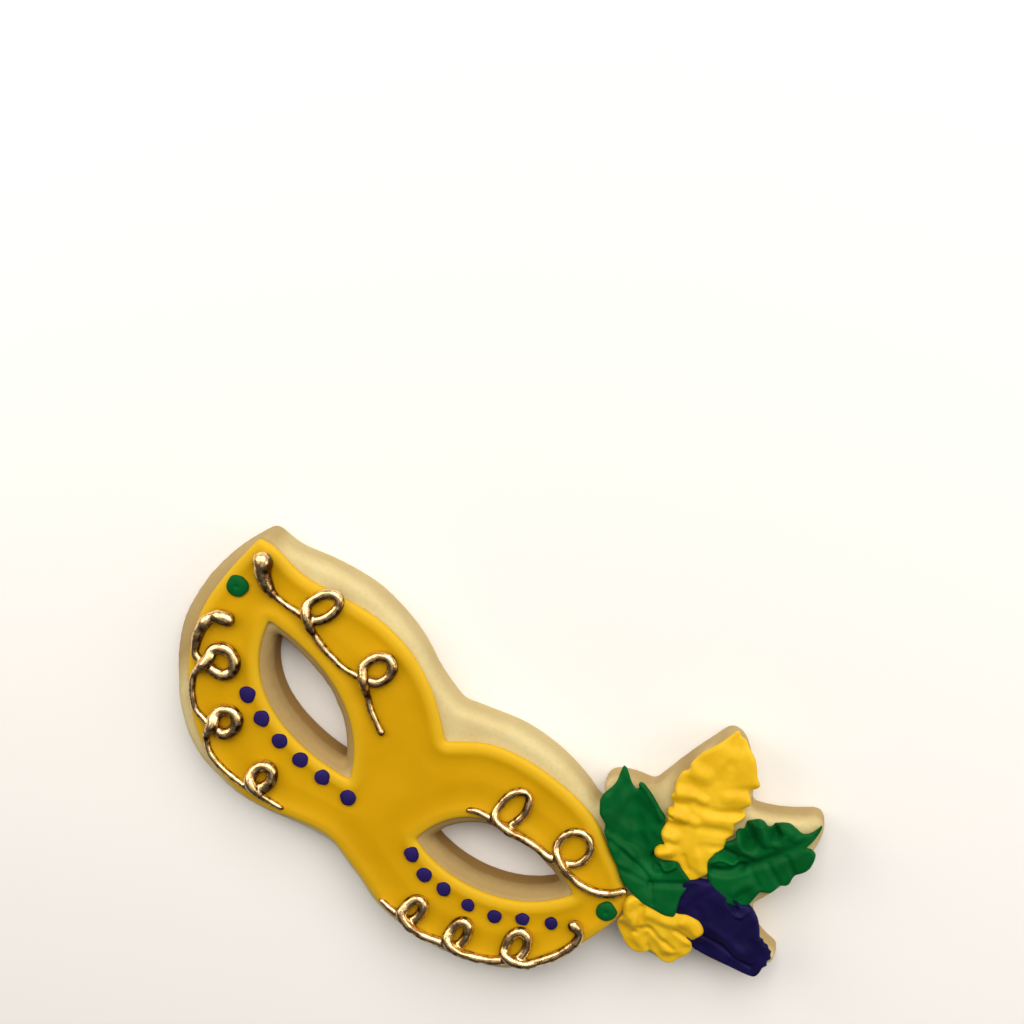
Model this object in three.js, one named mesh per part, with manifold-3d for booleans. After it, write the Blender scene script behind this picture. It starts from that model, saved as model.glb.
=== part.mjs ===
// A masquerade-mask biscuit: one rolled and cut biscuit with two eye holes and a plume of five
// feathers at its corner, flooded with yellow icing, edged with dots, scrolls and piped leaves.
// Millimetres. Drawing frame: X runs along the eyes towards the plume, Y up the brow, Z up from
// the table. The finished group is moved so that its box stands centred on the origin.

import * as THREE from "three";
import Module from "manifold-3d";

const wasm = await Module();
wasm.setup();

// ---------------------------------------------------------------- driving dimensions
const BISCUIT_THICK = 7.2;
const BISCUIT_EDGE = 1.3;          // how far the baked top edge rounds in
const BISCUIT_PROFILE = [          // from the foot up: height, and how far it stands in
  [0, 0.5], [0.6, 0.05], [3.4, 0], [5.9, 0.15 * BISCUIT_EDGE], [6.8, 0.5 * BISCUIT_EDGE],
  [BISCUIT_THICK, BISCUIT_EDGE],
];
const ICING_THICK = 1.2;
const ICING_PROFILE = [[0, 0.3], [0.35, 0], [0.8, 0.25], [1, 0.9]];   // share of its height, inset
const LAYER_GAP = 0.1;             // between one layer and the next
const CUTTER_ROUND = 2;            // rounding of the cutter's points and notches
const ICING_ROUND = 1;
const TIP_BLUNT = 1.2;             // half the width of a feather's blunt tip
const OUTLINE_STEP = 0.5;
const OUTLINE_SAG = 0.08;          // how far a chord may leave the smooth outline
const CURVE_POINTS = 60;           // along one side of an eye
const FOLD_REACH = 16;             // the most points that a folded corner may hold
const ARC_BULGE = 0.05;

const ICING_BOTTOM = BISCUIT_THICK + LAYER_GAP;
const ICING_TOP = ICING_BOTTOM + ICING_THICK;
const LEAF_BOTTOM = ICING_BOTTOM;

const DOT_HEIGHT = 0.95;
const DOT_SINK = 0.3;
const DOT_SIDES = 11;
const DOT_PROFILE = [[0.94, -DOT_SINK], [1, 0.2], [0.8, 0.66], [0.42, 0.93]];   // radius, height
const VIOLET_DOT_RADIUS = 1.6;
const GREEN_DOT_RADIUS = 1.95;

const LINE_RADIUS = 0.85;          // of the piped scroll line
const LINE_SIDES = 7;
const LINE_STEP = 1.75;            // between rings along the line
const LINE_FLAT = 0.6;             // the line sits on this share of its radius
const LINE_CAP = { back: 0.75, share: 0.55 };   // a round end's last ring, in radii
const BLOB_LENGTH = 4.5;           // over which an end swells or thins
const CROSSING_RISE = 1.15;        // the line climbs this much over itself
const CROSSING_REACH = 2.6;
const CROSSING_SLOPE = 1.6;
const CROSSING_SKIP = 5;           // rings that are too near along the line to be a crossing

const LEAF_GAP = 0.3;              // between neighbouring leaves, in plan
const LEAF_COLUMNS = 22;
const LEAF_ROWS = 8;
const LEAF_THIN = 0.7;
const LEAF_EASE = 3;               // over which a leaf climbs on to the icing
const LEAF_SKEW = 0.6;             // the right half's ridges slant this share as much
const LEAF_SCALLOP_FADE = 4;       // scallops run out over the last quarter of the leaf
const LEAF_TIP = { thin: 0.55, swell: 2.2 };
const LEAF_ROOT = { thin: 0.75, swell: 2 };
const LEAF_EDGE_THIN = 0.6;
const LEAF_MIDDLE_RELIEF = 0.35;   // share of the ridges' relief along the midrib
const VEIN_WIDTH = 0.22;
const VEIN_START = 3;
const PRISM_HEIGHT = 12;

// ---------------------------------------------------------------- outlines, in the drawing frame
// The cutter's outline: each run is a smooth curve from one corner to the next.
const CUTTER_BOTTOM = [
  [[46.4, 2.8], [45.1, -4.4], [42.9, -12], [37.4, -19.4], [29, -24], [20, -26], [12, -26],
    [5, -24], [-1.5, -22.2]],
  [[-1.5, -22.2], [-8, -23.6], [-15, -26], [-22, -27.1], [-31.5, -25.9], [-38.9, -21.4],
    [-45, -14.1], [-48.9, -6.8], [-50, 1], [-49.4, 9], [-46.7, 16.9]],
];
const CUTTER_TOP = [
  [[-46.7, 16.9], [-41, 17.0], [-34, 19.2], [-25, 20.7], [-15, 19.4], [-7, 16.2], [-0.4, 14.4]],
  [[-0.4, 14.4], [5, 16.5], [11, 18.5], [18, 19.2], [25, 18.5], [30.4, 16.9]],
];
// The plume: from one notch to the next over a feather's tip. A side bows out, or in where minus.
const PLUME_START = [30.4, 16.9];
const PLUME = [
  { tip: [28.0, 21.6], notch: [35.0, 26.0], bows: [-0.8, 0.6] },
  { tip: [39.5, 43.6], notch: [50.1, 34.8], bows: [0.3, 1.1] },
  { tip: [60.8, 41.6], notch: [61.9, 21.7], bows: [-0.7, 1.9] },
  { tip: [71.7, 16.2], notch: [59.0, 8.6], bows: [-1.9, 1.8] },
  { tip: [58.1, 3.4], notch: [46.4, 2.8], bows: [0.0, 1.1] },
];

const ICING_RUNS = [
  [[-46.9, 15.3], [-43.5, 15.8], [-37, 15.2], [-31, 16.3], [-25, 17.6], [-19, 18], [-12, 16.8],
    [-5, 13.5], [1.8, 8.3]],
  [[1.8, 8.3], [7, 12.8], [12, 15], [18, 16.1], [25, 16.3], [31, 15.4], [36, 13.1],
    [41, 10.6], [45.2, 7.5]],
  [[45.2, 7.5], [45.8, 3.5], [44.3, -4.6], [42.1, -10.9], [38.5, -16.4], [34, -20], [28, -22.8],
    [20, -24.7], [13, -24.7], [6, -22.8], [-1.5, -20.8]],
  [[-1.5, -20.8], [-5, -21.0], [-10, -22.6], [-15, -24.5], [-21, -25.5], [-28, -24.5],
    [-35, -20.8], [-40.9, -15.1], [-45.3, -7.9], [-47.3, -1], [-47.6, 7], [-46.9, 15.3]],
];

// Almond eye openings in the icing: two Bezier curves between the eye's two corners.
const EYES = [
  {
    outer: [-36.3, 4.3],
    inner: [-6.9, -9.4],
    top: [[-27, 5.4], [-12.5, 3.9]],
    low: [[-14, -11.2], [-33, -12.4]],
  },
  {
    outer: [37.0, 1.6],
    inner: [9.3, -9.9],
    top: [[30, 5.6], [11, 7]],
    low: [[17, -12.8], [31.5, -10.3]],
  },
];
const EYE_ROUND = 0.6;
const EYE_MARGIN = 0.7;            // bare biscuit between the icing and the hole's rounded edge

const VIOLET_DOTS = [
  [-31, -9.1], [-26.2, -10.9], [-21.1, -12.1], [-16, -12.3], [-10.9, -12.2], [-5, -12],
  [10.5, -12.4], [14.7, -13.9], [19, -13.6], [24.3, -12.9], [29.2, -11.3], [33.3, -8.1], [37.6, -5.1],
];
const GREEN_DOTS = [[-44.6, 5.8], [43.4, 3.6]];

// Scrolls: a line of points, in which a loop stands for a turn of the line over itself.
const loop = (x, y, rx, ry, lean) => ({ x, y, rx, ry, lean });
const SCROLLS = [
  {
    name: "gold_scroll_brow_left",
    start: 1.6,
    end: 0.75,
    route: [[-44.2, 14], [-43.6, 12.3], [-41.6, 10], [-38, 8.9], [-34.4, 9.3],
      loop(-30.4, 13.6, 2.2, 3.5, -8), [-28.1, 8.2], [-22.4, 7.1], [-19.3, 7.2],
      loop(-15.8, 11.2, 2.3, 3.0, -12), [-12.3, 4.4], [-7.5, 2]],
  },
  {
    name: "gold_scroll_cheek_left",
    start: 1.35,
    end: 0.5,
    route: [[-41.6, 0.6], [-43.8, -0.3], [-45, -3], [-44.2, -6.9], [-42.6, -9.1],
      loop(-38, -6.7, 2.5, 2.6, -20), [-40.6, -13.1], [-37.6, -17.2], [-34.6, -18.3],
      loop(-30.9, -15.7, 2.2, 2.6, -5), [-31.9, -20.6], [-28.6, -23.1], [-22.3, -23.5],
      loop(-19.4, -19.5, 2.0, 2.6, 0), [-16.6, -22.5], [-12.5, -22]],
  },
  {
    name: "gold_scroll_brow_right",
    start: 0.55,
    end: 0.8,
    route: [[12.5, 1.2], [14.5, 2.6],
      loop(18.5, 7.4, 2.2, 3.9, 0), [21.9, 4], [26.1, 4.8], [29.2, 4.9],
      loop(31.4, 9.2, 2.6, 3.0, 0), [34.6, 4.8], [38.6, 5.1], [41.3, 6.8], [42.8, 8.8]],
  },
  {
    name: "gold_scroll_cheek_right",
    start: 0.5,
    end: 1.0,
    route: [[11.5, -23.3], [13.9, -23.4],
      loop(17.3, -20.4, 1.7, 2.5, 0), [20.7, -23.2], [23.4, -22.3],
      loop(26.1, -18.6, 1.6, 2.9, 8), [29.9, -20.5], [33.4, -18.5],
      loop(35.5, -12.9, 2.1, 3.1, 14), [39.3, -14.3], [41.5, -10.1], [42.9, -6],
      [42.6, -3.7], [40.5, -2.6]],
  },
];

// Leaves: two edges from the broad end to the tip, with cross ridges from the piping tip's sway.
const LEAVES = [
  {
    name: "leaf_green_left",
    colour: 0x0a5a2c,
    left: [[52.9, 11.7], [46.5, 10.0], [40.9, 11.5], [33.9, 14.3], [29.9, 18], [28.8, 22.4], [28.4, 26.5]],
    right: [[51.3, 18], [48.1, 19.1], [44.1, 18.6], [41.9, 21.2], [38.9, 24.6], [33.7, 25.8], [28.9, 26.8]],
    ridges: 3.5, slant: 0.35, relief: 0.5, scallop: 0.35, lift: 0.9, thick: 2.4, vein: 0.9,
  },
  {
    name: "leaf_yellow_top",
    colour: 0xe3b52b,
    left: [[45.3, 18.3], [41.9, 20], [40.1, 24.4], [37.7, 29.4], [36.7, 34.4], [36.9, 39.4], [38.3, 44.8]],
    right: [[52.2, 21], [50.2, 24.6], [50.4, 29.4], [49.5, 34], [48.5, 38], [45.5, 42.3], [39.7, 45.3]],
    ridges: 6, slant: 0.7, relief: 0.55, scallop: 0.55, lift: 0.7, thick: 2.7, vein: 0.0,
  },
  {
    name: "leaf_green_right",
    colour: 0x0a5a2c,
    left: [[51.9, 22], [50.7, 25], [50.9, 29], [51.1, 32.8], [53.9, 36.4], [57.5, 38.1], [60.7, 41.4]],
    right: [[60.3, 22.2], [61.5, 25.6], [62.7, 29], [63.2, 32], [63.5, 35], [62.3, 37.4], [61.3, 41]],
    ridges: 4.5, slant: 0.3, relief: 0.75, scallop: 0.7, lift: 1.0, thick: 2.6, vein: 1.0,
  },
  {
    name: "leaf_violet",
    colour: 0x221b52,
    left: [[51.3, 18.3], [53.5, 20.9], [57.9, 21.6], [61.9, 21.5], [65.9, 19.3], [70, 17.4]],
    right: [[53.4, 13.6], [57.2, 11.4], [60.7, 9], [64.3, 9.7], [67.7, 10.8], [70.7, 11.9]],
    ridges: 2.5, slant: 0.4, relief: 0.3, scallop: 0.15, lift: 0.5, thick: 2.5, vein: 0.9,
  },
  {
    name: "leaf_yellow_low",
    colour: 0xe3b52b,
    left: [[50.7, 9.9], [52.9, 11.6], [55.1, 13.3], [57.5, 13], [58.5, 10.6], [59.3, 8.2]],
    right: [[46.8, 9.2], [46.0, 6.8], [47.6, 3.2], [50.9, 1], [54.9, 2.4], [58.3, 4]],
    ridges: 2.5, slant: 0.5, relief: 0.65, scallop: 0.6, lift: 0.8, thick: 2.5, vein: 0.5,
  },
];
// Where two leaves meet, the first gives way to the others.
const GIVES_WAY = {
  leaf_green_left: ["leaf_violet"],
  leaf_yellow_top: ["leaf_green_left", "leaf_violet"],
  leaf_green_right: ["leaf_violet", "leaf_yellow_top"],
  leaf_violet: ["leaf_yellow_low"],
  leaf_yellow_low: ["leaf_green_left"],
};

// ---------------------------------------------------------------- materials
const finish = (color, roughness, metalness) => (
  new THREE.MeshStandardMaterial({ color, roughness, metalness })
);
const BISCUIT = finish(0xd2be8c, 0.9, 0);
const YELLOW_ICING = finish(0xe2a912, 0.4, 0);
const GOLD_PAINT = finish(0xc99f6c, 0.3, 0.85);

// ---------------------------------------------------------------- outline tools
const vec = ([x, y]) => new THREE.Vector2(x, y);

function distances(points) {
  const along = [0];
  for (let i = 1; i <= points.length; i += 1) {
    along.push(along[i - 1] + points[i % points.length].distanceTo(points[i - 1]));
  }
  return along;
}

// Points a fixed step apart round a closed outline.
function evenly(points, step) {
  const along = distances(points);
  const total = along[points.length];
  const count = Math.round(total / step);
  const out = [];
  let k = 0;
  for (let i = 0; i < count; i += 1) {
    const s = (i * total) / count;
    while (along[k + 1] < s) k += 1;
    const share = (s - along[k]) / (along[k + 1] - along[k]);
    out.push(points[k].clone().lerp(points[(k + 1) % points.length], share));
  }
  return out;
}

// Rounds every corner of a closed, evenly stepped outline by a running average.
function soften(points, step, radius) {
  const reach = Math.max(1, Math.round(radius / step));
  const n = points.length;
  return points.map((_, i) => {
    const sum = new THREE.Vector2();
    let weight = 0;
    for (let k = -reach; k <= reach; k += 1) {
      const w = reach + 1 - Math.abs(k);
      sum.addScaledVector(points[(i + k + n) % n], w);
      weight += w;
    }
    return sum.divideScalar(weight);
  });
}

// Keeps only the points that the outline's shape needs.
function thin(points) {
  const keep = new Set([0, Math.floor(points.length / 2)]);
  const walk = (a, b) => {
    const end = points[b % points.length];
    const chord = end.clone().sub(points[a]);
    let far = OUTLINE_SAG;
    let at = -1;
    for (let i = a + 1; i < b; i += 1) {
      const away = Math.abs(points[i].clone().sub(points[a]).cross(chord)) / chord.length();
      if (away > far) {
        far = away;
        at = i;
      }
    }
    if (at < 0) return;
    keep.add(at);
    walk(a, at);
    walk(at, b);
  };
  walk(0, Math.floor(points.length / 2));
  walk(Math.floor(points.length / 2), points.length);
  return [...keep].sort((a, b) => a - b).map((i) => points[i]);
}

function anticlockwise(points) {
  return THREE.ShapeUtils.area(points) > 0 ? points : points.slice().reverse();
}

function runsOutline(runs) {
  const out = [];
  for (const run of runs) {
    const curve = new THREE.SplineCurve(run.map(vec));
    const many = curve.getSpacedPoints(Math.round(curve.getLength() / OUTLINE_STEP));
    out.push(...many.slice(0, -1));
  }
  return out;
}

// One side of a feather: a shallow arc from a notch to a tip, or back.
function bowed(from, to, bow) {
  const side = to.clone().sub(from);
  const out = new THREE.Vector2(-side.y, side.x).normalize();
  const middle = from.clone().lerp(to, 0.5).addScaledVector(out, 2 * bow);
  const curve = new THREE.QuadraticBezierCurve(from, middle, to);
  return curve.getSpacedPoints(Math.round(curve.getLength() / OUTLINE_STEP)).slice(0, -1);
}

function cutterOutline() {
  const out = runsOutline(CUTTER_TOP);
  let notch = vec(PLUME_START);
  for (const feather of PLUME) {
    const tip = vec(feather.tip);
    const next = vec(feather.notch);
    const along = tip.clone().sub(notch.clone().lerp(next, 0.5)).normalize();
    const across = new THREE.Vector2(along.y, -along.x).multiplyScalar(TIP_BLUNT);
    const near = tip.clone().sub(across);
    const far = tip.clone().add(across);
    out.push(...bowed(notch, near, feather.bows[0]));
    out.push(...bowed(near, far, 0));
    out.push(...bowed(far, next, feather.bows[1]));
    notch = next;
  }
  out.push(...runsOutline(CUTTER_BOTTOM));
  return out;
}

function rounded(points, radius) {
  const even = evenly(points, OUTLINE_STEP);
  return anticlockwise(thin(soften(even, OUTLINE_STEP, radius)));
}

function eyeOutline(eye, inset) {
  const sides = [[eye.outer, ...eye.top, eye.inner], [eye.inner, ...eye.low, eye.outer]];
  const points = sides.flatMap((side) => {
    const curve = new THREE.CubicBezierCurve(...side.map(vec));
    return curve.getSpacedPoints(CURVE_POINTS).slice(0, -1);
  });
  const even = soften(evenly(points, OUTLINE_STEP), OUTLINE_STEP, EYE_ROUND);
  return anticlockwise(thin(offset(anticlockwise(even), inset)));
}

// Moves an anticlockwise outline inwards, square to itself. Where a sharp corner would fold over
// itself, its points are drawn out into one shallow arc between the sound points on both sides.
function offset(points, inset) {
  if (inset === 0) return points;
  const n = points.length;
  const moved = points.map((point, i) => {
    const ahead = points[(i + 1) % n].clone().sub(point).normalize();
    const behind = point.clone().sub(points[(i - 1 + n) % n]).normalize();
    const along = ahead.add(behind).normalize();
    return new THREE.Vector2(point.x - along.y * inset, point.y + along.x * inset);
  });
  for (let i = 0; i < n; i += 1) {
    for (let span = FOLD_REACH; span > 1; span -= 1) {
      const [a, b, c, d] = [i, i + 1, i + span, i + span + 1].map((k) => moved[k % n]);
      if (!cross(a, b, c, d)) continue;
      const rise = new THREE.Vector2(d.y - a.y, a.x - d.x).multiplyScalar(Math.sign(inset) * ARC_BULGE);
      for (let k = 1; k <= span; k += 1) {
        const share = k / (span + 1);
        moved[(i + k) % n] = a.clone().lerp(d, share).addScaledVector(rise, 4 * share * (1 - share));
      }
      break;
    }
  }
  return moved;
}

function cross(a, b, c, d) {
  const side = (p, q, r) => q.clone().sub(p).cross(r.clone().sub(p));
  return side(a, b, c) * side(a, b, d) < 0 && side(c, d, a) * side(c, d, b) < 0;
}

function distanceTo(outline, p) {
  let best = Infinity;
  outline.forEach((a, i) => {
    const b = outline[(i + 1) % outline.length];
    const side = b.clone().sub(a);
    const share = THREE.MathUtils.clamp(p.clone().sub(a).dot(side) / side.lengthSq(), 0, 1);
    best = Math.min(best, a.clone().addScaledVector(side, share).distanceTo(p));
  });
  return best;
}

function inside(outline, p) {
  let odd = false;
  outline.forEach((a, i) => {
    const b = outline[(i + 1) % outline.length];
    const crosses = (a.y > p.y) !== (b.y > p.y);
    if (crosses && p.x < a.x + ((p.y - a.y) * (b.x - a.x)) / (b.y - a.y)) odd = !odd;
  });
  return odd;
}

// ---------------------------------------------------------------- solid tools
function solidOf(positions, triangles) {
  return new wasm.Manifold(new wasm.Mesh({
    numProp: 3,
    vertProperties: new Float32Array(positions),
    triVerts: new Uint32Array(triangles),
  }));
}

function geometryOf(solid) {
  const mesh = solid.getMesh();
  const geometry = new THREE.BufferGeometry();
  geometry.setAttribute("position", new THREE.BufferAttribute(new Float32Array(mesh.vertProperties), 3));
  geometry.setIndex(new THREE.BufferAttribute(new Uint32Array(mesh.triVerts), 1));
  geometry.computeVertexNormals();
  return geometry;
}

// A slab between flat faces. levels lists, from the bottom up, a height and how far its edge
// stands in from the outline there; a hole widens by the same amounts.
function slab(outline, holes, levels) {
  const rings = [outline, ...holes];
  const total = rings.reduce((sum, ring) => sum + ring.length, 0);
  const positions = [];
  const triangles = [];
  const floors = levels.map(({ z, inset }) => {
    const moved = rings.map((ring, r) => offset(ring, r === 0 ? inset : -inset));
    for (const p of moved.flat()) positions.push(p.x, p.y, z);
    return moved;
  });
  let first = 0;
  rings.forEach((ring, r) => {
    for (let k = 0; k + 1 < levels.length; k += 1) {
      for (let i = 0; i < ring.length; i += 1) {
        const a = k * total + first + i;
        const b = k * total + first + ((i + 1) % ring.length);
        const quad = [a, b, b + total, a, b + total, a + total];
        triangles.push(...(r === 0 ? quad : quad.reverse()));
      }
    }
    first += ring.length;
  });
  const cap = ([rim, ...gaps]) => THREE.ShapeUtils.triangulateShape(rim, gaps);
  const lid = (levels.length - 1) * total;
  for (const [a, b, c] of cap(floors[0])) triangles.push(a, c, b);
  for (const [a, b, c] of cap(floors[levels.length - 1])) triangles.push(lid + a, lid + b, lid + c);
  return solidOf(positions, triangles);
}

// ---------------------------------------------------------------- biscuit and icing
function biscuit() {
  const outline = rounded(cutterOutline(), CUTTER_ROUND);
  const holes = EYES.map((eye) => eyeOutline(eye, BISCUIT_EDGE + EYE_MARGIN));
  return slab(outline, holes, BISCUIT_PROFILE.map(([z, inset]) => ({ z, inset })));
}

function dot(x, y, radius) {
  const positions = [x, y, ICING_TOP - DOT_SINK];
  for (const [share, rise] of DOT_PROFILE) {
    for (let i = 0; i < DOT_SIDES; i += 1) {
      const turn = (2 * Math.PI * i) / DOT_SIDES;
      const z = rise < 0 ? ICING_TOP + rise : ICING_TOP + rise * DOT_HEIGHT;
      positions.push(x + radius * share * Math.cos(turn), y + radius * share * Math.sin(turn), z);
    }
  }
  positions.push(x, y, ICING_TOP + DOT_HEIGHT);
  const last = DOT_PROFILE.length * DOT_SIDES + 1;
  const triangles = [];
  for (let i = 0; i < DOT_SIDES; i += 1) {
    const j = (i + 1) % DOT_SIDES;
    triangles.push(0, 1 + j, 1 + i);
    for (let k = 0; k + 1 < DOT_PROFILE.length; k += 1) {
      const a = 1 + k * DOT_SIDES + i;
      const b = 1 + k * DOT_SIDES + j;
      triangles.push(a, b, b + DOT_SIDES, a, b + DOT_SIDES, a + DOT_SIDES);
    }
    triangles.push(last - DOT_SIDES + i, last - DOT_SIDES + j, last);
  }
  return solidOf(positions, triangles);
}

const ICING_OUTLINE = rounded(runsOutline(ICING_RUNS), ICING_ROUND);

function icing() {
  const holes = EYES.map((eye) => eyeOutline(eye, 0));
  const levels = ICING_PROFILE.map(([share, inset]) => (
    { z: ICING_BOTTOM + share * ICING_THICK, inset }
  ));
  let body = slab(ICING_OUTLINE, holes, levels);
  for (const [x, y] of VIOLET_DOTS) body = body.add(dot(x, y, VIOLET_DOT_RADIUS));
  for (const [x, y] of GREEN_DOTS) body = body.add(dot(x, y, GREEN_DOT_RADIUS));
  return body;
}

// ---------------------------------------------------------------- gold scrolls
// The line comes up a loop's right side, over its top, down its left and crosses itself below.
const LOOP_FROM = -70;
const LOOP_TO = 235;
const LOOP_STEPS = 7;

function loopPoints({ x, y, rx, ry, lean }) {
  const out = [];
  const tilt = THREE.MathUtils.degToRad(lean);
  for (let i = 0; i <= LOOP_STEPS; i += 1) {
    const turn = THREE.MathUtils.degToRad(LOOP_FROM + ((LOOP_TO - LOOP_FROM) * i) / LOOP_STEPS);
    const p = new THREE.Vector2(rx * Math.cos(turn), ry * Math.sin(turn));
    out.push(p.rotateAround(new THREE.Vector2(), tilt).add(new THREE.Vector2(x, y)));
  }
  return out;
}

// Closed tube with round ends through flat points; radii and heights are given point by point.
function tube(points, radii, rises) {
  const positions = [];
  const triangles = [];
  const last = points.length - 1;
  const ring = (i, back, share) => {
    const along = points[Math.min(i + 1, last)].clone().sub(points[Math.max(i - 1, 0)]).normalize();
    const r = radii[i];
    const floor = ICING_TOP + LAYER_GAP + rises[i];
    for (let k = 0; k < LINE_SIDES; k += 1) {
      const turn = (2 * Math.PI * (k + 0.5)) / LINE_SIDES;
      const side = r * share * Math.cos(turn);
      const up = r * (LINE_FLAT + Math.max(-LINE_FLAT, share * Math.sin(turn)));
      positions.push(
        points[i].x + along.x * back * r + along.y * side,
        points[i].y + along.y * back * r - along.x * side,
        floor + up,
      );
    }
  };
  ring(0, -LINE_CAP.back, LINE_CAP.share);
  for (let i = 0; i <= last; i += 1) ring(i, 0, 1);
  ring(last, LINE_CAP.back, LINE_CAP.share);
  const rings = points.length + 2;
  for (let k = 0; k + 1 < rings; k += 1) {
    for (let i = 0; i < LINE_SIDES; i += 1) {
      const a = k * LINE_SIDES + i;
      const b = k * LINE_SIDES + ((i + 1) % LINE_SIDES);
      triangles.push(a, b + LINE_SIDES, b, a, a + LINE_SIDES, b + LINE_SIDES);
    }
  }
  for (let i = 1; i + 1 < LINE_SIDES; i += 1) {
    const end = (rings - 1) * LINE_SIDES;
    triangles.push(0, i, i + 1);
    triangles.push(end, end + i + 1, end + i);
  }
  return solidOf(positions, triangles);
}

function scroll({ start, end, route }) {
  const flat = [];
  const tops = [];
  for (const stop of route) {
    if (Array.isArray(stop)) {
      flat.push(vec(stop));
    } else {
      tops.push(new THREE.Vector2(stop.x, stop.y + stop.ry));
      flat.push(...loopPoints(stop));
    }
  }
  const stops = flat.map((p) => new THREE.Vector3(p.x, p.y, 0));
  const curve = new THREE.CatmullRomCurve3(stops, false, "centripetal");
  const count = Math.round(curve.getLength() / LINE_STEP);
  const points = curve.getSpacedPoints(count).map((p) => new THREE.Vector2(p.x, p.y));
  const radii = points.map((_, i) => {
    const blob = Math.max(0, 1 - (i * LINE_STEP) / BLOB_LENGTH);
    const tail = Math.max(0, 1 - ((points.length - 1 - i) * LINE_STEP) / BLOB_LENGTH);
    return LINE_RADIUS + (start - LINE_RADIUS) * blob + (end - LINE_RADIUS) * tail;
  });
  // The second pass of the line rises where it lies across the first.
  const rises = points.map((p, i) => {
    let rise = 0;
    for (let k = 0; k < i - CROSSING_SKIP; k += 1) {
      const near = 1 - p.distanceTo(points[k]) / CROSSING_REACH;
      rise = Math.max(rise, near);
    }
    return CROSSING_RISE * Math.min(1, rise * CROSSING_SLOPE);
  });
  // Cut at the loops' tops, where one length joins the next, so that no length crosses itself.
  const cuts = tops.map((top) => {
    let best = 0;
    points.forEach((p, i) => {
      if (p.distanceTo(top) < points[best].distanceTo(top)) best = i;
    });
    return best;
  });
  const ends = [0, ...cuts, points.length - 1];
  let body = null;
  for (let k = 0; k + 1 < ends.length; k += 1) {
    const from = ends[k];
    const to = ends[k + 1] + 1;
    const length = tube(points.slice(from, to), radii.slice(from, to), rises.slice(from, to));
    body = body ? body.add(length) : length;
  }
  return body;
}

// ---------------------------------------------------------------- piped leaves
// How much icing lies under a leaf's point, easing off past the icing's edge.
function icingUnder(p) {
  const away = inside(ICING_OUTLINE, p) ? 0 : distanceTo(ICING_OUTLINE, p);
  return (ICING_THICK + LAYER_GAP) * THREE.MathUtils.smoothstep(LEAF_EASE - away, 0, LEAF_EASE);
}

// grow widens the leaf in plan; flat makes it a tall plain prism, used to trim its neighbours.
function leaf(spec, grow, flat) {
  const left = new THREE.SplineCurve(spec.left.map(vec));
  const right = new THREE.SplineCurve(spec.right.map(vec));
  const bottom = [];
  const top = [];
  for (let i = 0; i <= LEAF_COLUMNS; i += 1) {
    const u = i / LEAF_COLUMNS;
    const a = left.getPoint(u);
    const b = right.getPoint(u);
    const across = b.clone().sub(a).normalize();
    const along = new THREE.Vector2(across.y, -across.x);
    const over = i === 0 ? grow : (i === LEAF_COLUMNS ? -grow : 0);
    for (let j = 0; j <= LEAF_ROWS; j += 1) {
      const v = j / LEAF_ROWS;
      const edge = Math.abs(2 * v - 1);
      const slant = spec.slant * edge * (v < 0.5 ? 1 : LEAF_SKEW);
      const wave = Math.cos(2 * Math.PI * (spec.ridges * u + slant));
      const crest = 0.5 + 0.5 * wave;
      const scallop = spec.scallop * crest * Math.min(1, LEAF_SCALLOP_FADE * (1 - u));
      const stand = (grow * edge + scallop * edge ** 3) * (v < 0.5 ? -1 : 1);
      const p = a.clone().lerp(b, v).addScaledVector(across, stand).addScaledVector(along, over);
      const lift = spec.lift * edge ** 2 * crest;
      const tip = Math.min(1, LEAF_TIP.thin + LEAF_TIP.swell * (1 - u));
      const root = Math.min(1, LEAF_ROOT.thin + LEAF_ROOT.swell * u);
      const body = spec.thick * tip * root * (1 - LEAF_EDGE_THIN * edge ** 4);
      const groove = spec.vein * Math.exp(-((edge / VEIN_WIDTH) ** 2)) * Math.min(1, VEIN_START * u);
      const relief = spec.relief * wave * THREE.MathUtils.lerp(LEAF_MIDDLE_RELIEF, 1, edge);
      const thick = Math.max(LEAF_THIN, body - groove + relief);
      const face = LEAF_BOTTOM + lift + thick + icingUnder(p);
      bottom.push([p.x, p.y, flat ? 0 : LEAF_BOTTOM + lift]);
      top.push([p.x, p.y, flat ? PRISM_HEIGHT + BISCUIT_THICK : face]);
    }
  }
  return sheetSolid(bottom, top, LEAF_COLUMNS, LEAF_ROWS);
}

// Closes two matching grids of points into one solid, both faces split alike.
function sheetSolid(bottom, top, columns, rows) {
  const positions = [...bottom, ...top].flat();
  const lid = bottom.length;
  const triangles = [];
  const at = (i, j) => i * (rows + 1) + j;
  for (let i = 0; i < columns; i += 1) {
    for (let j = 0; j < rows; j += 1) {
      const [a, b, c, d] = [at(i, j), at(i + 1, j), at(i + 1, j + 1), at(i, j + 1)];
      triangles.push(a, c, b, a, d, c);
      triangles.push(lid + a, lid + b, lid + c, lid + a, lid + c, lid + d);
    }
  }
  const rim = [];
  for (let i = 0; i < columns; i += 1) rim.push(at(i, 0));
  for (let j = 0; j < rows; j += 1) rim.push(at(columns, j));
  for (let i = columns; i > 0; i -= 1) rim.push(at(i, rows));
  for (let j = rows; j > 0; j -= 1) rim.push(at(0, j));
  rim.forEach((a, i) => {
    const b = rim[(i + 1) % rim.length];
    triangles.push(a, b, lid + b, a, lid + b, lid + a);
  });
  return { positions, triangles };
}

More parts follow.
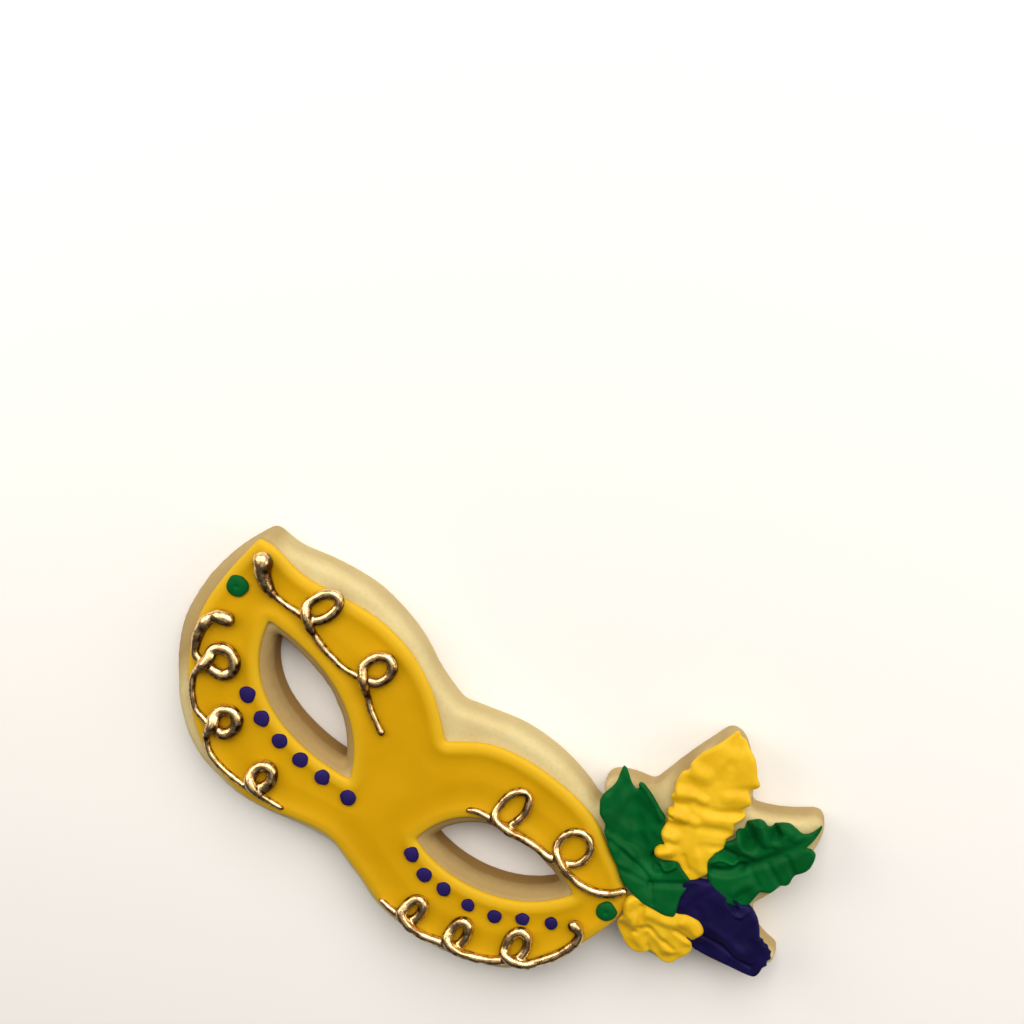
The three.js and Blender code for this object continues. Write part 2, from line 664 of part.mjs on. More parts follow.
// A leaf's edges may run either way round, so its faces are turned to point outwards.
function outward({ positions, triangles }) {
  let volume = 0;
  const p = (i) => new THREE.Vector3(positions[3 * i], positions[3 * i + 1], positions[3 * i + 2]);
  for (let t = 0; t < triangles.length; t += 3) {
    volume += p(triangles[t]).dot(p(triangles[t + 1]).cross(p(triangles[t + 2])));
  }
  if (volume < 0) {
    for (let t = 0; t < triangles.length; t += 3) {
      [triangles[t + 1], triangles[t + 2]] = [triangles[t + 2], triangles[t + 1]];
    }
  }
  return solidOf(positions, triangles);
}

function leafSolids() {
  const bed = slab(ICING_OUTLINE, [], [
    { z: 0, inset: -LEAF_GAP },
    { z: ICING_TOP + LAYER_GAP, inset: -LEAF_GAP },
  ]);
  return LEAVES.map((spec) => {
    let body = outward(leaf(spec, 0, false)).subtract(bed);
    for (const name of GIVES_WAY[spec.name]) {
      const other = LEAVES.find((candidate) => candidate.name === name);
      body = body.subtract(outward(leaf(other, LEAF_GAP, true)));
    }
    return { spec, body };
  });
}

// ---------------------------------------------------------------- assembly
function piece(name, solid, material) {
  const mesh = new THREE.Mesh(geometryOf(solid), material);
  mesh.name = name;
  return mesh;
}

const group = new THREE.Group();
group.add(piece("cookie", biscuit(), BISCUIT));
group.add(piece("icing", icing(), YELLOW_ICING));
for (const spec of SCROLLS) group.add(piece(spec.name, scroll(spec), GOLD_PAINT));
for (const { spec, body } of leafSolids()) {
  group.add(piece(spec.name, body, finish(spec.colour, 0.4, 0)));
}

// Stand the box centred on the origin, its underside on the table.
const box = new THREE.Box3().setFromObject(group);
const middle = box.getCenter(new THREE.Vector3());
group.position.set(-middle.x, -middle.y, -box.min.z);

export default group;
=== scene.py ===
"""A masquerade-mask cookie, dressed for its portrait.

One rolled and baked biscuit with two eye holes and a plume of five feathers, flooded with yellow
icing and trimmed with dots, gold-painted scrolls and piped leaves. Lengths are millimetres in the
drawing frame (X along the eyes towards the plume, Y up the brow, Z up from the table) until a
mesh is placed, which turns them into metres in the part's frame.
"""

from __future__ import annotations

import logging
import math
from collections.abc import Callable, Iterable, Sequence
from dataclasses import dataclass, field
from enum import Enum

import bpy
import numpy as np
from mathutils import Matrix, Vector, kdtree, noise

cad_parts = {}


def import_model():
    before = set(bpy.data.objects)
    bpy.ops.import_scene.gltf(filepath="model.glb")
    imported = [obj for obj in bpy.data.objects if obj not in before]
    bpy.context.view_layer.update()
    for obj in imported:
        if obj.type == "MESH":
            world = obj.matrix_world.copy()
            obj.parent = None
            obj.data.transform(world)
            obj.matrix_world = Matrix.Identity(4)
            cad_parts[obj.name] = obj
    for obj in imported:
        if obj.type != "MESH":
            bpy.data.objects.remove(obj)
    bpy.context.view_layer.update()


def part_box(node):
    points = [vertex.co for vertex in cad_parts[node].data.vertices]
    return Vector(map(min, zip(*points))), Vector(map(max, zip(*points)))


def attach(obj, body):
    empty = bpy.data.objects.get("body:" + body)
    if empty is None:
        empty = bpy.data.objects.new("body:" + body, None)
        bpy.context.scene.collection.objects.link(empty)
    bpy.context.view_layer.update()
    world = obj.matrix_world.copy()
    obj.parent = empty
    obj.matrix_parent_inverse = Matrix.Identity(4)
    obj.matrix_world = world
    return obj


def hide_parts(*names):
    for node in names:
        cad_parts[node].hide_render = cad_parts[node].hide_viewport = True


LOG = logging.getLogger("mask_cookie")

MM = 0.001
STEP = 0.25                 # between the points of a smooth outline
FINE_STEP = 0.05            # between the points that a depth from an edge is measured from
GUIDE_STEP = 0.02           # between the points of a rim's curve
STROKE_STEP = 0.12          # between the points of a leaf's ridge or groove
BISCUIT_TOP = 7.2
ICING_TOP = 8.5
SUNK = 0.12                 # how far piped icing settles into what it lies on

Point = tuple[float, float]
Run = Sequence[Point]


# ------------------------------------------------------------------ the drawing
CUTTER_TOP: tuple[Run, ...] = (
    ((-46.7, 16.9), (-41, 17.0), (-34, 19.2), (-25, 20.7), (-15, 19.4), (-7, 16.2), (-0.4, 14.4)),
    ((-0.4, 14.4), (5, 16.5), (11, 18.5), (18, 19.2), (25, 18.5), (30.4, 16.9)),
)
CUTTER_BOTTOM: tuple[Run, ...] = (
    ((46.4, 2.8), (45.1, -4.4), (42.9, -12), (37.4, -19.4), (29, -24), (20, -26), (12, -26),
     (5, -24), (-1.5, -22.2)),
    ((-1.5, -22.2), (-8, -23.6), (-15, -26), (-22, -27.1), (-31.5, -25.9), (-38.9, -21.4),
     (-45, -14.1), (-48.9, -6.8), (-50, 1), (-49.4, 9), (-46.7, 16.9)),
)
PLUME_START: Point = (30.4, 16.9)
# Each feather: its tip, the notch after it, and how far its two sides bow out.
PLUME: tuple[tuple[Point, Point, Point], ...] = (
    ((28.0, 21.6), (35.0, 26.0), (-0.8, 0.6)),
    ((39.5, 43.6), (50.1, 34.8), (0.3, 1.1)),
    ((60.8, 41.6), (61.9, 21.7), (-0.7, 1.9)),
    ((71.7, 16.2), (59.0, 8.6), (-1.9, 1.8)),
    ((58.1, 3.4), (46.4, 2.8), (0.0, 1.1)),
)
TIP_BLUNT = 1.2             # half the width of a feather's blunt tip
FEATHER_POINTS = 60         # samples of one side of a feather
ICING_RUNS: tuple[Run, ...] = (
    ((-46.9, 15.3), (-43.5, 15.8), (-37, 15.2), (-31, 16.3), (-25, 17.6), (-19, 18), (-12, 16.8),
     (-5, 13.5), (1.8, 8.3)),
    ((1.8, 8.3), (7, 12.8), (12, 15), (18, 16.1), (25, 16.3), (31, 15.4), (36, 13.1),
     (41, 10.6), (45.2, 7.5)),
    ((45.2, 7.5), (45.8, 3.5), (44.3, -4.6), (42.1, -10.9), (38.5, -16.4), (34, -20), (28, -22.8),
     (20, -24.7), (13, -24.7), (6, -22.8), (-1.5, -20.8)),
    ((-1.5, -20.8), (-5, -21.0), (-10, -22.6), (-15, -24.5), (-21, -25.5), (-28, -24.5),
     (-35, -20.8), (-40.9, -15.1), (-45.3, -7.9), (-47.3, -1), (-47.6, 7), (-46.9, 15.3)),
)


@dataclass(frozen=True)
class Eye:
    """An almond eye opening: two Bezier curves between its outer and inner corners."""

    outer: Point
    inner: Point
    top: tuple[Point, Point]
    low: tuple[Point, Point]


EYES: tuple[Eye, ...] = (
    Eye((-36.3, 4.3), (-6.9, -9.4), ((-27, 5.4), (-12.5, 3.9)), ((-14, -11.2), (-33, -12.4))),
    Eye((37.0, 1.6), (9.3, -9.9), ((30, 5.6), (11, 7)), ((17, -12.8), (31.5, -10.3))),
)
EYE_ROUND = 0.6
EYE_INNER_ROUND = 0.8
EYE_POINTS = 160            # samples of an eye's upper or lower edge
FOLDED = 0.97               # a point moved less than this share of its margin lay in a fold
CUTTER_ROUND = 2.0
ICING_ROUND = 1.0


# ------------------------------------------------------------------ curves
def as_array(points: Iterable[Sequence[float]]) -> np.ndarray:
    """Rows of numbers as one float array."""
    return np.array([tuple(p) for p in points], dtype=float)


def spline(points: Iterable[Sequence[float]], per_span: int = 24) -> np.ndarray:
    """Runs a smooth curve through every point.

    Args:
        points: the points, in order; two or three numbers each.
        per_span: how many samples one span gets.

    Returns:
        The samples, from the first point to the last.
    """
    p = as_array(points)
    p = np.vstack([p[:1], p, p[-1:]])
    share = np.linspace(0, 1, per_span, endpoint=False)[:, None]
    spans = []
    for a, b, c, d in zip(p, p[1:], p[2:], p[3:]):
        bend = (2 * a - 5 * b + 4 * c - d) * share**2 + (-a + 3 * b - 3 * c + d) * share**3
        spans.append(0.5 * (2 * b + (c - a) * share + bend))
    return np.vstack([*spans, p[-1:]])


def bezier(points: Sequence[Sequence[float]], count: int) -> np.ndarray:
    """Samples a Bezier curve of any degree, without its last point."""
    share = np.linspace(0, 1, count, endpoint=False)[:, None]
    rest = [np.array(p, dtype=float)[None, :] for p in points]
    while len(rest) > 1:
        rest = [a * (1 - share) + b * share for a, b in zip(rest, rest[1:])]
    return rest[0]


def evenly(points: np.ndarray, step: float, closed: bool) -> np.ndarray:
    """Resamples a curve at a fixed spacing.

    Args:
        points: the curve's samples.
        step: the wanted spacing.
        closed: whether the curve returns to its first point.

    Returns:
        Samples one step apart, as near as the curve's length allows.
    """
    p = np.vstack([points, points[:1]]) if closed else points
    along = np.concatenate([[0], np.cumsum(np.linalg.norm(np.diff(p, axis=0), axis=1))])
    count = max(2, int(round(along[-1] / step)))
    at = np.linspace(0, along[-1], count + 1)
    even = np.stack([np.interp(at, along, p[:, k]) for k in range(p.shape[1])], axis=1)
    return even[:-1] if closed else even


def soften(points: np.ndarray, radius: float) -> np.ndarray:
    """Rounds the corners of a closed, evenly spaced outline by a running average."""
    reach = max(1, round(radius / STEP))
    weights = reach + 1 - np.abs(np.arange(-reach, reach + 1))
    total = sum(w * np.roll(points, -k, axis=0) for k, w in zip(range(-reach, reach + 1), weights))
    return total / weights.sum()


def anticlockwise(points: np.ndarray) -> np.ndarray:
    """Turns a closed outline so that it runs anticlockwise seen from above."""
    after = np.roll(points, -1, axis=0)
    area = np.sum(points[:, 0] * after[:, 1] - after[:, 0] * points[:, 1])
    return points if area > 0 else points[::-1]


def normals(points: np.ndarray) -> np.ndarray:
    """Unit vectors that point into an anticlockwise outline."""
    along = np.roll(points, -1, axis=0) - np.roll(points, 1, axis=0)
    along /= np.linalg.norm(along, axis=1)[:, None]
    return np.stack([-along[:, 1], along[:, 0]], axis=1)


def runs_outline(runs: Iterable[Run]) -> np.ndarray:
    """Joins smooth runs that meet at corners into one outline."""
    return np.vstack([spline(run)[:-1] for run in runs])


def cutter_outline() -> np.ndarray:
    """The cookie cutter's outline, mask and plume."""
    parts = [runs_outline(CUTTER_TOP)]
    notch = np.array(PLUME_START)
    for tip, after, bows in PLUME:
        tip, after = np.array(tip), np.array(after)
        along = (tip - (notch + after) / 2) / np.linalg.norm(tip - (notch + after) / 2)
        across = TIP_BLUNT * np.array([along[1], -along[0]])
        for a, b, bow in ((notch, tip - across, bows[0]), (tip - across, tip + across, 0.0),
                          (tip + across, after, bows[1])):
            side = b - a
            out = np.array([-side[1], side[0]]) / np.linalg.norm(side)
            parts.append(bezier((a, (a + b) / 2 + 2 * bow * out, b), FEATHER_POINTS))
        notch = after
    parts.append(runs_outline(CUTTER_BOTTOM))
    return anticlockwise(soften(evenly(np.vstack(parts), STEP, True), CUTTER_ROUND))


def icing_outline() -> np.ndarray:
    """The outer edge of the flood icing."""
    return anticlockwise(soften(evenly(runs_outline(ICING_RUNS), STEP, True), ICING_ROUND))


def eye_outline(eye: Eye, margin: float) -> np.ndarray:
    """An eye opening.

    Args:
        eye: the opening in the icing.
        margin: how much smaller than that the outline is.

    Returns:
        The closed outline.
    """
    top = bezier((eye.outer, *eye.top, eye.inner), EYE_POINTS)
    low = bezier((eye.inner, *eye.low, eye.outer), EYE_POINTS)
    even = anticlockwise(soften(evenly(np.vstack([top, low]), STEP, True), EYE_ROUND))
    if margin == 0:
        return even
    moved = even + margin * normals(even)
    tree = kd_of(even)
    clear = np.array([tree.find((*p, 0))[2] > FOLDED * margin for p in moved])
    return soften(evenly(moved[clear], STEP, True), EYE_INNER_ROUND)


def kd_of(points: np.ndarray) -> kdtree.KDTree:
    """A search tree over flat or solid points."""
    tree = kdtree.KDTree(len(points))
    for i, p in enumerate(points):
        tree.insert((p[0], p[1], p[2] if len(p) > 2 else 0), i)
    tree.balance()
    return tree


# ------------------------------------------------------------------ placing and mesh work
class Drawing:
    """Where the drawing frame lies in the part's frame."""

    def __init__(self) -> None:
        """Matches the drawn icing edge to the icing's solid."""
        low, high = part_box("icing")
        edge = icing_outline()
        middle = (edge.min(axis=0) + edge.max(axis=0)) / 2
        self.shift = Vector((
            (low[0] + high[0]) / 2 - middle[0] * MM,
            (low[1] + high[1]) / 2 - middle[1] * MM,
            0.0,
        ))

    def place(self, piece: bpy.types.Object) -> None:
        """Turns a finished mesh's drawing millimetres into the part's metres."""
        piece.data.transform(Matrix.Translation(self.shift) @ Matrix.Scale(MM, 4))
        piece.data.update()


def select_only(piece: bpy.types.Object) -> None:
    """Deselects everything, then selects one object and makes it active."""
    bpy.ops.object.select_all(action="DESELECT")
    piece.select_set(True)
    bpy.context.view_layer.objects.active = piece


def add_modifier(piece: bpy.types.Object, kind: str, **settings: object) -> None:
    """Adds a modifier with its settings and applies it at once.

    Args:
        piece: the mesh object.
        kind: the modifier's type.
        **settings: values set on the modifier.
    """
    select_only(piece)
    modifier = piece.modifiers.new(kind.title(), kind)
    for key, value in settings.items():
        setattr(modifier, key, value)
    bpy.ops.object.modifier_apply(modifier=modifier.name)


def join(name: str, pieces: Sequence[bpy.types.Object]) -> bpy.types.Object:
    """Joins mesh objects into the first one and names it."""
    bpy.ops.object.select_all(action="DESELECT")
    for piece in pieces:
        piece.select_set(True)
    bpy.context.view_layer.objects.active = pieces[0]
    if len(pieces) > 1:
        bpy.ops.object.join()
    pieces[0].name = name
    pieces[0].data.name = name
    return pieces[0]


def plate(name: str, outline: np.ndarray, low: float, high: float) -> bpy.types.Object:
    """Raises an outline into a plate by the extrude operator.

    Args:
        name: the new object's name.
        outline: the closed outline.
        low: the underside's height.
        high: the upper face's height.

    Returns:
        The plate, all of whose faces point outwards.
    """
    mesh = bpy.data.meshes.new(name)
    mesh.from_pydata([(x, y, low) for x, y in outline], [], [tuple(range(len(outline)))])
    piece = bpy.data.objects.new(name, mesh)
    bpy.context.scene.collection.objects.link(piece)
    select_only(piece)
    bpy.ops.object.mode_set(mode="EDIT")
    bpy.ops.mesh.select_all(action="SELECT")
    bpy.ops.mesh.extrude_region_move(TRANSFORM_OT_translate={"value": (0, 0, high - low)})
    bpy.ops.mesh.select_all(action="SELECT")
    bpy.ops.mesh.normals_make_consistent(inside=False)
    bpy.ops.object.mode_set(mode="OBJECT")
    return piece


def cut(piece: bpy.types.Object, tool: bpy.types.Object) -> None:
    """Cuts a tool's shape out of a piece and removes the tool."""
    add_modifier(piece, "BOOLEAN", operation="DIFFERENCE", solver="EXACT", object=tool)
    bpy.data.objects.remove(tool)


def coordinates(piece: bpy.types.Object) -> np.ndarray:
    """A mesh's vertices as an array."""
    flat = np.empty(3 * len(piece.data.vertices))
    piece.data.vertices.foreach_get("co", flat)
    return flat.reshape(-1, 3)


def set_coordinates(piece: bpy.types.Object, points: np.ndarray) -> None:
    """Moves a mesh's vertices to new places."""
    piece.data.vertices.foreach_set("co", np.ascontiguousarray(points, dtype=float).ravel())
    piece.data.update()


def vertex_normals(piece: bpy.types.Object) -> np.ndarray:
    """A mesh's vertex normals as an array."""
    flat = np.empty(3 * len(piece.data.vertices))
    piece.data.vertex_normals.foreach_get("vector", flat)
    return flat.reshape(-1, 3)


def mark(piece: bpy.types.Object, name: str, values: np.ndarray) -> None:
    """Stores one number a vertex for the material to read."""
    attribute = piece.data.attributes.new(name, "FLOAT", "POINT")
    attribute.data.foreach_set("value", np.asarray(values, dtype=np.float32))


def smooth_shade(piece: bpy.types.Object) -> None:
    """Shades every face smoothly."""
    select_only(piece)
    bpy.ops.object.shade_smooth()


def ripple(points: np.ndarray, size: float, depth: float, seed: float) -> np.ndarray:
    """Soft random relief.

    Args:
        points: where the relief is read.
        size: the width of one swell.
        depth: the largest height.
        seed: moves the pattern, so that two reliefs differ.

    Returns:
        One height a point.
    """
    return np.array([depth * noise.noise(Vector(p) / size + Vector((seed, 0, 0))) for p in points])


@dataclass
class Rim:
    """The side of a layer, as insets and heights from its lower edge to its flat top.

    A point near the layer's edge is drawn on to this curve, so that the side is smooth however
    coarse the mesh was.
    """

    outlines: tuple[np.ndarray, ...]
    signs: tuple[int, ...]
    curve: np.ndarray
    reach: float
    top: Callable[[np.ndarray, np.ndarray], np.ndarray]
    tree: kdtree.KDTree = field(init=False)
    feet: np.ndarray = field(init=False)
    inward: np.ndarray = field(init=False)

    def __post_init__(self) -> None:
        """Lists every outline's points with the direction that leads into the layer."""
        fine = [evenly(o, FINE_STEP, True) for o in self.outlines]
        self.feet = np.vstack(fine)
        self.inward = np.vstack([s * normals(o) for s, o in zip(self.signs, fine)])
        self.tree = kd_of(self.feet)

    def shape(self, piece: bpy.types.Object, middle: float) -> None:
        """Draws a plate's side on to the curve and gives its top its relief.

        Args:
            piece: the plate, with an even fine mesh.
            middle: the height that parts the top's points from the underside's.
        """
        points = coordinates(piece)
        found = [self.tree.find((x, y, 0)) for x, y, _ in points]
        index = np.array([f[1] for f in found])
        foot = self.feet[index]
        way = self.inward[index]
        depth = np.einsum("ij,ij->i", points[:, :2] - foot, way)
        near = depth < self.reach
        side = np.stack([depth, points[:, 2]], axis=1)[near]
        dense = evenly(self.curve, GUIDE_STEP, False)
        guide = kd_of(dense)
        best = dense[[guide.find((d, z, 0))[1] for d, z in side]]
        across = foot[near] + way[near] * best[:, :1]
        top = ~near & (points[:, 2] > middle)
        points[top, 2] = self.top(points[top], depth[top])
        points[near] = np.column_stack([across, best[:, 1]])
        set_coordinates(piece, points)


# ------------------------------------------------------------------ finishes
def colour(text: str) -> tuple[float, float, float, float]:
    """An sRGB hex value as the linear colour that the shader wants."""
    channels = [int(text[i:i + 2], 16) / 255 for i in (1, 3, 5)]
    linear = [c / 12.92 if c <= 0.04045 else ((c + 0.055) / 1.055) ** 2.4 for c in channels]
    return (*linear, 1.0)


class Graph:
    """A material's nodes while they are laid out."""

    def __init__(self, name: str) -> None:
        """Starts a node material that holds only its output."""
        self.material = bpy.data.materials.new(name)
        self.material.use_nodes = True
        self.tree = self.material.node_tree
        self.tree.nodes.clear()

    def add(self, kind: str, links: dict[str, object] | None = None,
            stops: Sequence[tuple[float, str]] = (), **settings: object) -> bpy.types.Node:
        """Adds a node with its settings, values and links.

        Args:
            kind: the node's type.
            links: for an input's name, a socket to link it to or a value to set on it.
            stops: a colour ramp's two places, each with its hex colour.
            **settings: the node's own properties.

        Returns:
            The node.
        """
        node = self.tree.nodes.new(kind)
        for key, value in settings.items():
            setattr(node, key, value)
        for i, (place, text) in enumerate(stops):
            node.color_ramp.elements[i].position = place
            node.color_ramp.elements[i].color = colour(text)
        for key, value in (links or {}).items():
            if isinstance(value, bpy.types.NodeSocket):
                self.tree.links.new(value, node.inputs[key])
            else:
                node.inputs[key].default_value = value
        return node

    def finish(self, surface: bpy.types.Node) -> bpy.types.Material:
        """Links the surface to the output and returns the material."""
        self.add("ShaderNodeOutputMaterial", {"Surface": surface.outputs["BSDF"]})
        return self.material


def per_mm(width: float) -> float:
    """The noise scale, in turns a metre, that gives swells this many millimetres wide."""
    return 1 / (width * MM)


@dataclass(frozen=True)
class BakedDough:
    """Rolled sugar dough, baked pale: dry, faintly mottled, browner where its sides toasted, darker
    where shade is painted.
    """

    name: str = "baked_sugar_dough"
    pale: str = "#D6C691"
    mid: str = "#D0BD86"
    toast_and_shade_tone: str = "#937038"
    speck: str = "#E6DABC"

    def material(self) -> bpy.types.Material:
        """Builds the material: soft blotches, a fine crumb grain, and the toasted sides with their
        painted shade.
        """
        g = Graph(self.name)
        place = g.add("ShaderNodeTexCoord").outputs["Object"]
        blotch = g.add("ShaderNodeTexNoise", {"Vector": place, "Scale": per_mm(8.0), "Detail": 4.0,
                                              "Roughness": 0.5})
        crumb = g.add("ShaderNodeTexNoise", {"Vector": place, "Scale": per_mm(0.7), "Detail": 4.0,
                                             "Roughness": 0.6})
        base = g.add("ShaderNodeValToRGB", {"Fac": blotch.outputs["Fac"]},
                     ((0.3, self.mid), (0.62, self.pale)))
        speck = g.add("ShaderNodeValToRGB", {"Fac": crumb.outputs["Fac"]},
                      ((0.3, self.speck), (0.5, "#FFFFFF")))
        mixed = g.add("ShaderNodeMix", {"Factor": 0.25, "A": base.outputs["Color"],
                                        "B": speck.outputs["Color"]},
                      data_type="RGBA", blend_type="MULTIPLY")
        # This mark darkens the cut sides as baked brown, and paints shade into the eye holes, the
        # mask's far end and patches of the plume.
        toast_and_shade = g.add("ShaderNodeAttribute", attribute_name="toast_and_shade").outputs["Fac"]
        tint = g.add("ShaderNodeMix", {"Factor": toast_and_shade, "A": mixed.outputs["Result"],
                                       "B": colour(self.toast_and_shade_tone)}, data_type="RGBA")
        bump = g.add("ShaderNodeBump", {"Height": crumb.outputs["Fac"], "Strength": 0.35,
                                        "Distance": 0.1 * MM})
        return g.finish(g.add("ShaderNodeBsdfPrincipled", {
            "Base Color": tint.outputs["Result"], "Roughness": 0.85, "Specular IOR Level": 0.3,
            "Normal": bump.outputs["Normal"]}))


@dataclass(frozen=True)
class RoyalIcing:
    """Dried royal icing: smooth matte sugar that light enters a little, paler near its edges."""

    name: str
    tone: str
    shade: str
    pale: str
    roughness: float = 0.5
    shinier: float = 0.06       # how far its roughness falls and rises from grain to grain
    duller: float = 0.08
    swell: float = 9.0
    grain: float = 0.35
    glow: float = 0.08
    shine: float = 0.12

    def material(self) -> bpy.types.Material:
        """Builds the material: a faint change of tone, a satin skin and a fine sugar grain."""
        g = Graph(self.name)
        place = g.add("ShaderNodeTexCoord").outputs["Object"]
        cloud = g.add("ShaderNodeTexNoise", {"Vector": place, "Scale": per_mm(self.swell),
                                             "Detail": 3.0, "Roughness": 0.5})
        deep = g.add("ShaderNodeValToRGB", {"Fac": cloud.outputs["Fac"]},
                     ((0.32, self.shade), (0.66, self.tone))).outputs["Color"]
        thin = g.add("ShaderNodeAttribute", attribute_name="thin").outputs["Fac"]
        base = g.add("ShaderNodeMix", {"Factor": thin, "A": deep, "B": colour(self.pale)},
                     data_type="RGBA").outputs["Result"]
        grain = g.add("ShaderNodeTexNoise", {"Vector": place, "Scale": per_mm(self.grain),
                                             "Detail": 3.0, "Roughness": 0.55})
        skin = g.add("ShaderNodeMapRange", {"Value": grain.outputs["Fac"],
                                            "To Min": self.roughness - self.shinier,
                                            "To Max": self.roughness + self.duller})
        bump = g.add("ShaderNodeBump", {"Height": grain.outputs["Fac"], "Strength": 0.18,
                                        "Distance": 0.04 * MM})
        return g.finish(g.add("ShaderNodeBsdfPrincipled", {
            "Base Color": base, "Roughness": skin.outputs["Result"],
            "Specular IOR Level": self.shine, "Subsurface Weight": self.glow,
            "Subsurface Radius": (1.0, 0.6, 0.25), "Subsurface Scale": 0.8 * MM,
            "Normal": bump.outputs["Normal"]}))


@dataclass(frozen=True)
class GoldPaint:
    """Edible gold brushed on dry icing: a bright metal skin, with painted shade in dark brown where
    it turns from the light, and worn patches.
    """

    name: str = "brushed_edible_gold"
    bright: str = "#FFDA9E"
    worn: str = "#CC9058"
    # The dark brown of the painted shade on the flank turned from the light, and of worn patches.
    bare: str = "#45200F"

    def material(self) -> bpy.types.Material:
        """Builds the material: mottled gold with a fine brushed grain in its highlights."""
        g = Graph(self.name)
        place = g.add("ShaderNodeTexCoord").outputs["Object"]
        mottle = g.add("ShaderNodeTexNoise", {"Vector": place, "Scale": per_mm(0.9), "Detail": 5.0,
                                              "Roughness": 0.65})
        skin = g.add("ShaderNodeValToRGB", {"Fac": mottle.outputs["Fac"]},
                     ((0.3, self.worn), (0.5, self.bright))).outputs["Color"]
        # Painted shade: the dark brown is mixed in where the line turns from the light and at its
        # foot, and in worn patches.
        bare = g.add("ShaderNodeAttribute", attribute_name="bare").outputs["Fac"]
        base = g.add("ShaderNodeMix", {"Factor": bare, "A": skin, "B": colour(self.bare)},
                     data_type="RGBA").outputs["Result"]
        brush = g.add("ShaderNodeTexNoise", {"Vector": place, "Scale": per_mm(0.38), "Detail": 3.0,
                                             "Roughness": 0.6})
        rough = g.add("ShaderNodeMapRange", {"Value": mottle.outputs["Fac"], "To Min": 0.36,
                                             "To Max": 0.2})
        bump = g.add("ShaderNodeBump", {"Height": brush.outputs["Fac"], "Strength": 0.35,
                                        "Distance": 0.08 * MM})
        return g.finish(g.add("ShaderNodeBsdfPrincipled", {
            "Base Color": base, "Metallic": 1.0, "Roughness": rough.outputs["Result"],
            "Normal": bump.outputs["Normal"]}))


class Hue(Enum):
    """The icings on the cookie."""

    FLOOD_YELLOW = RoyalIcing("yellow_flood_icing", "#D4A207", "#C99702", "#E0B524",
                              roughness=0.46, swell=16.0, grain=0.5)
    LEAF_YELLOW = RoyalIcing("yellow_piped_icing", "#EDC122", "#DFB010", "#EFC838",
                             swell=5.0, glow=0.2, shine=0.2)
    GREEN = RoyalIcing("green_piped_icing", "#005F28", "#00511F", "#00702F", swell=5.0, shine=0.1)
    VIOLET = RoyalIcing("violet_piped_icing", "#1A1447", "#120D36", "#2A2160",
                        swell=5.0, shine=0.08)
    VIOLET_DROP = RoyalIcing("violet_drop_icing", "#2A1E60", "#211752", "#2F2468",
                             roughness=0.55, swell=5.0, shine=0.08)


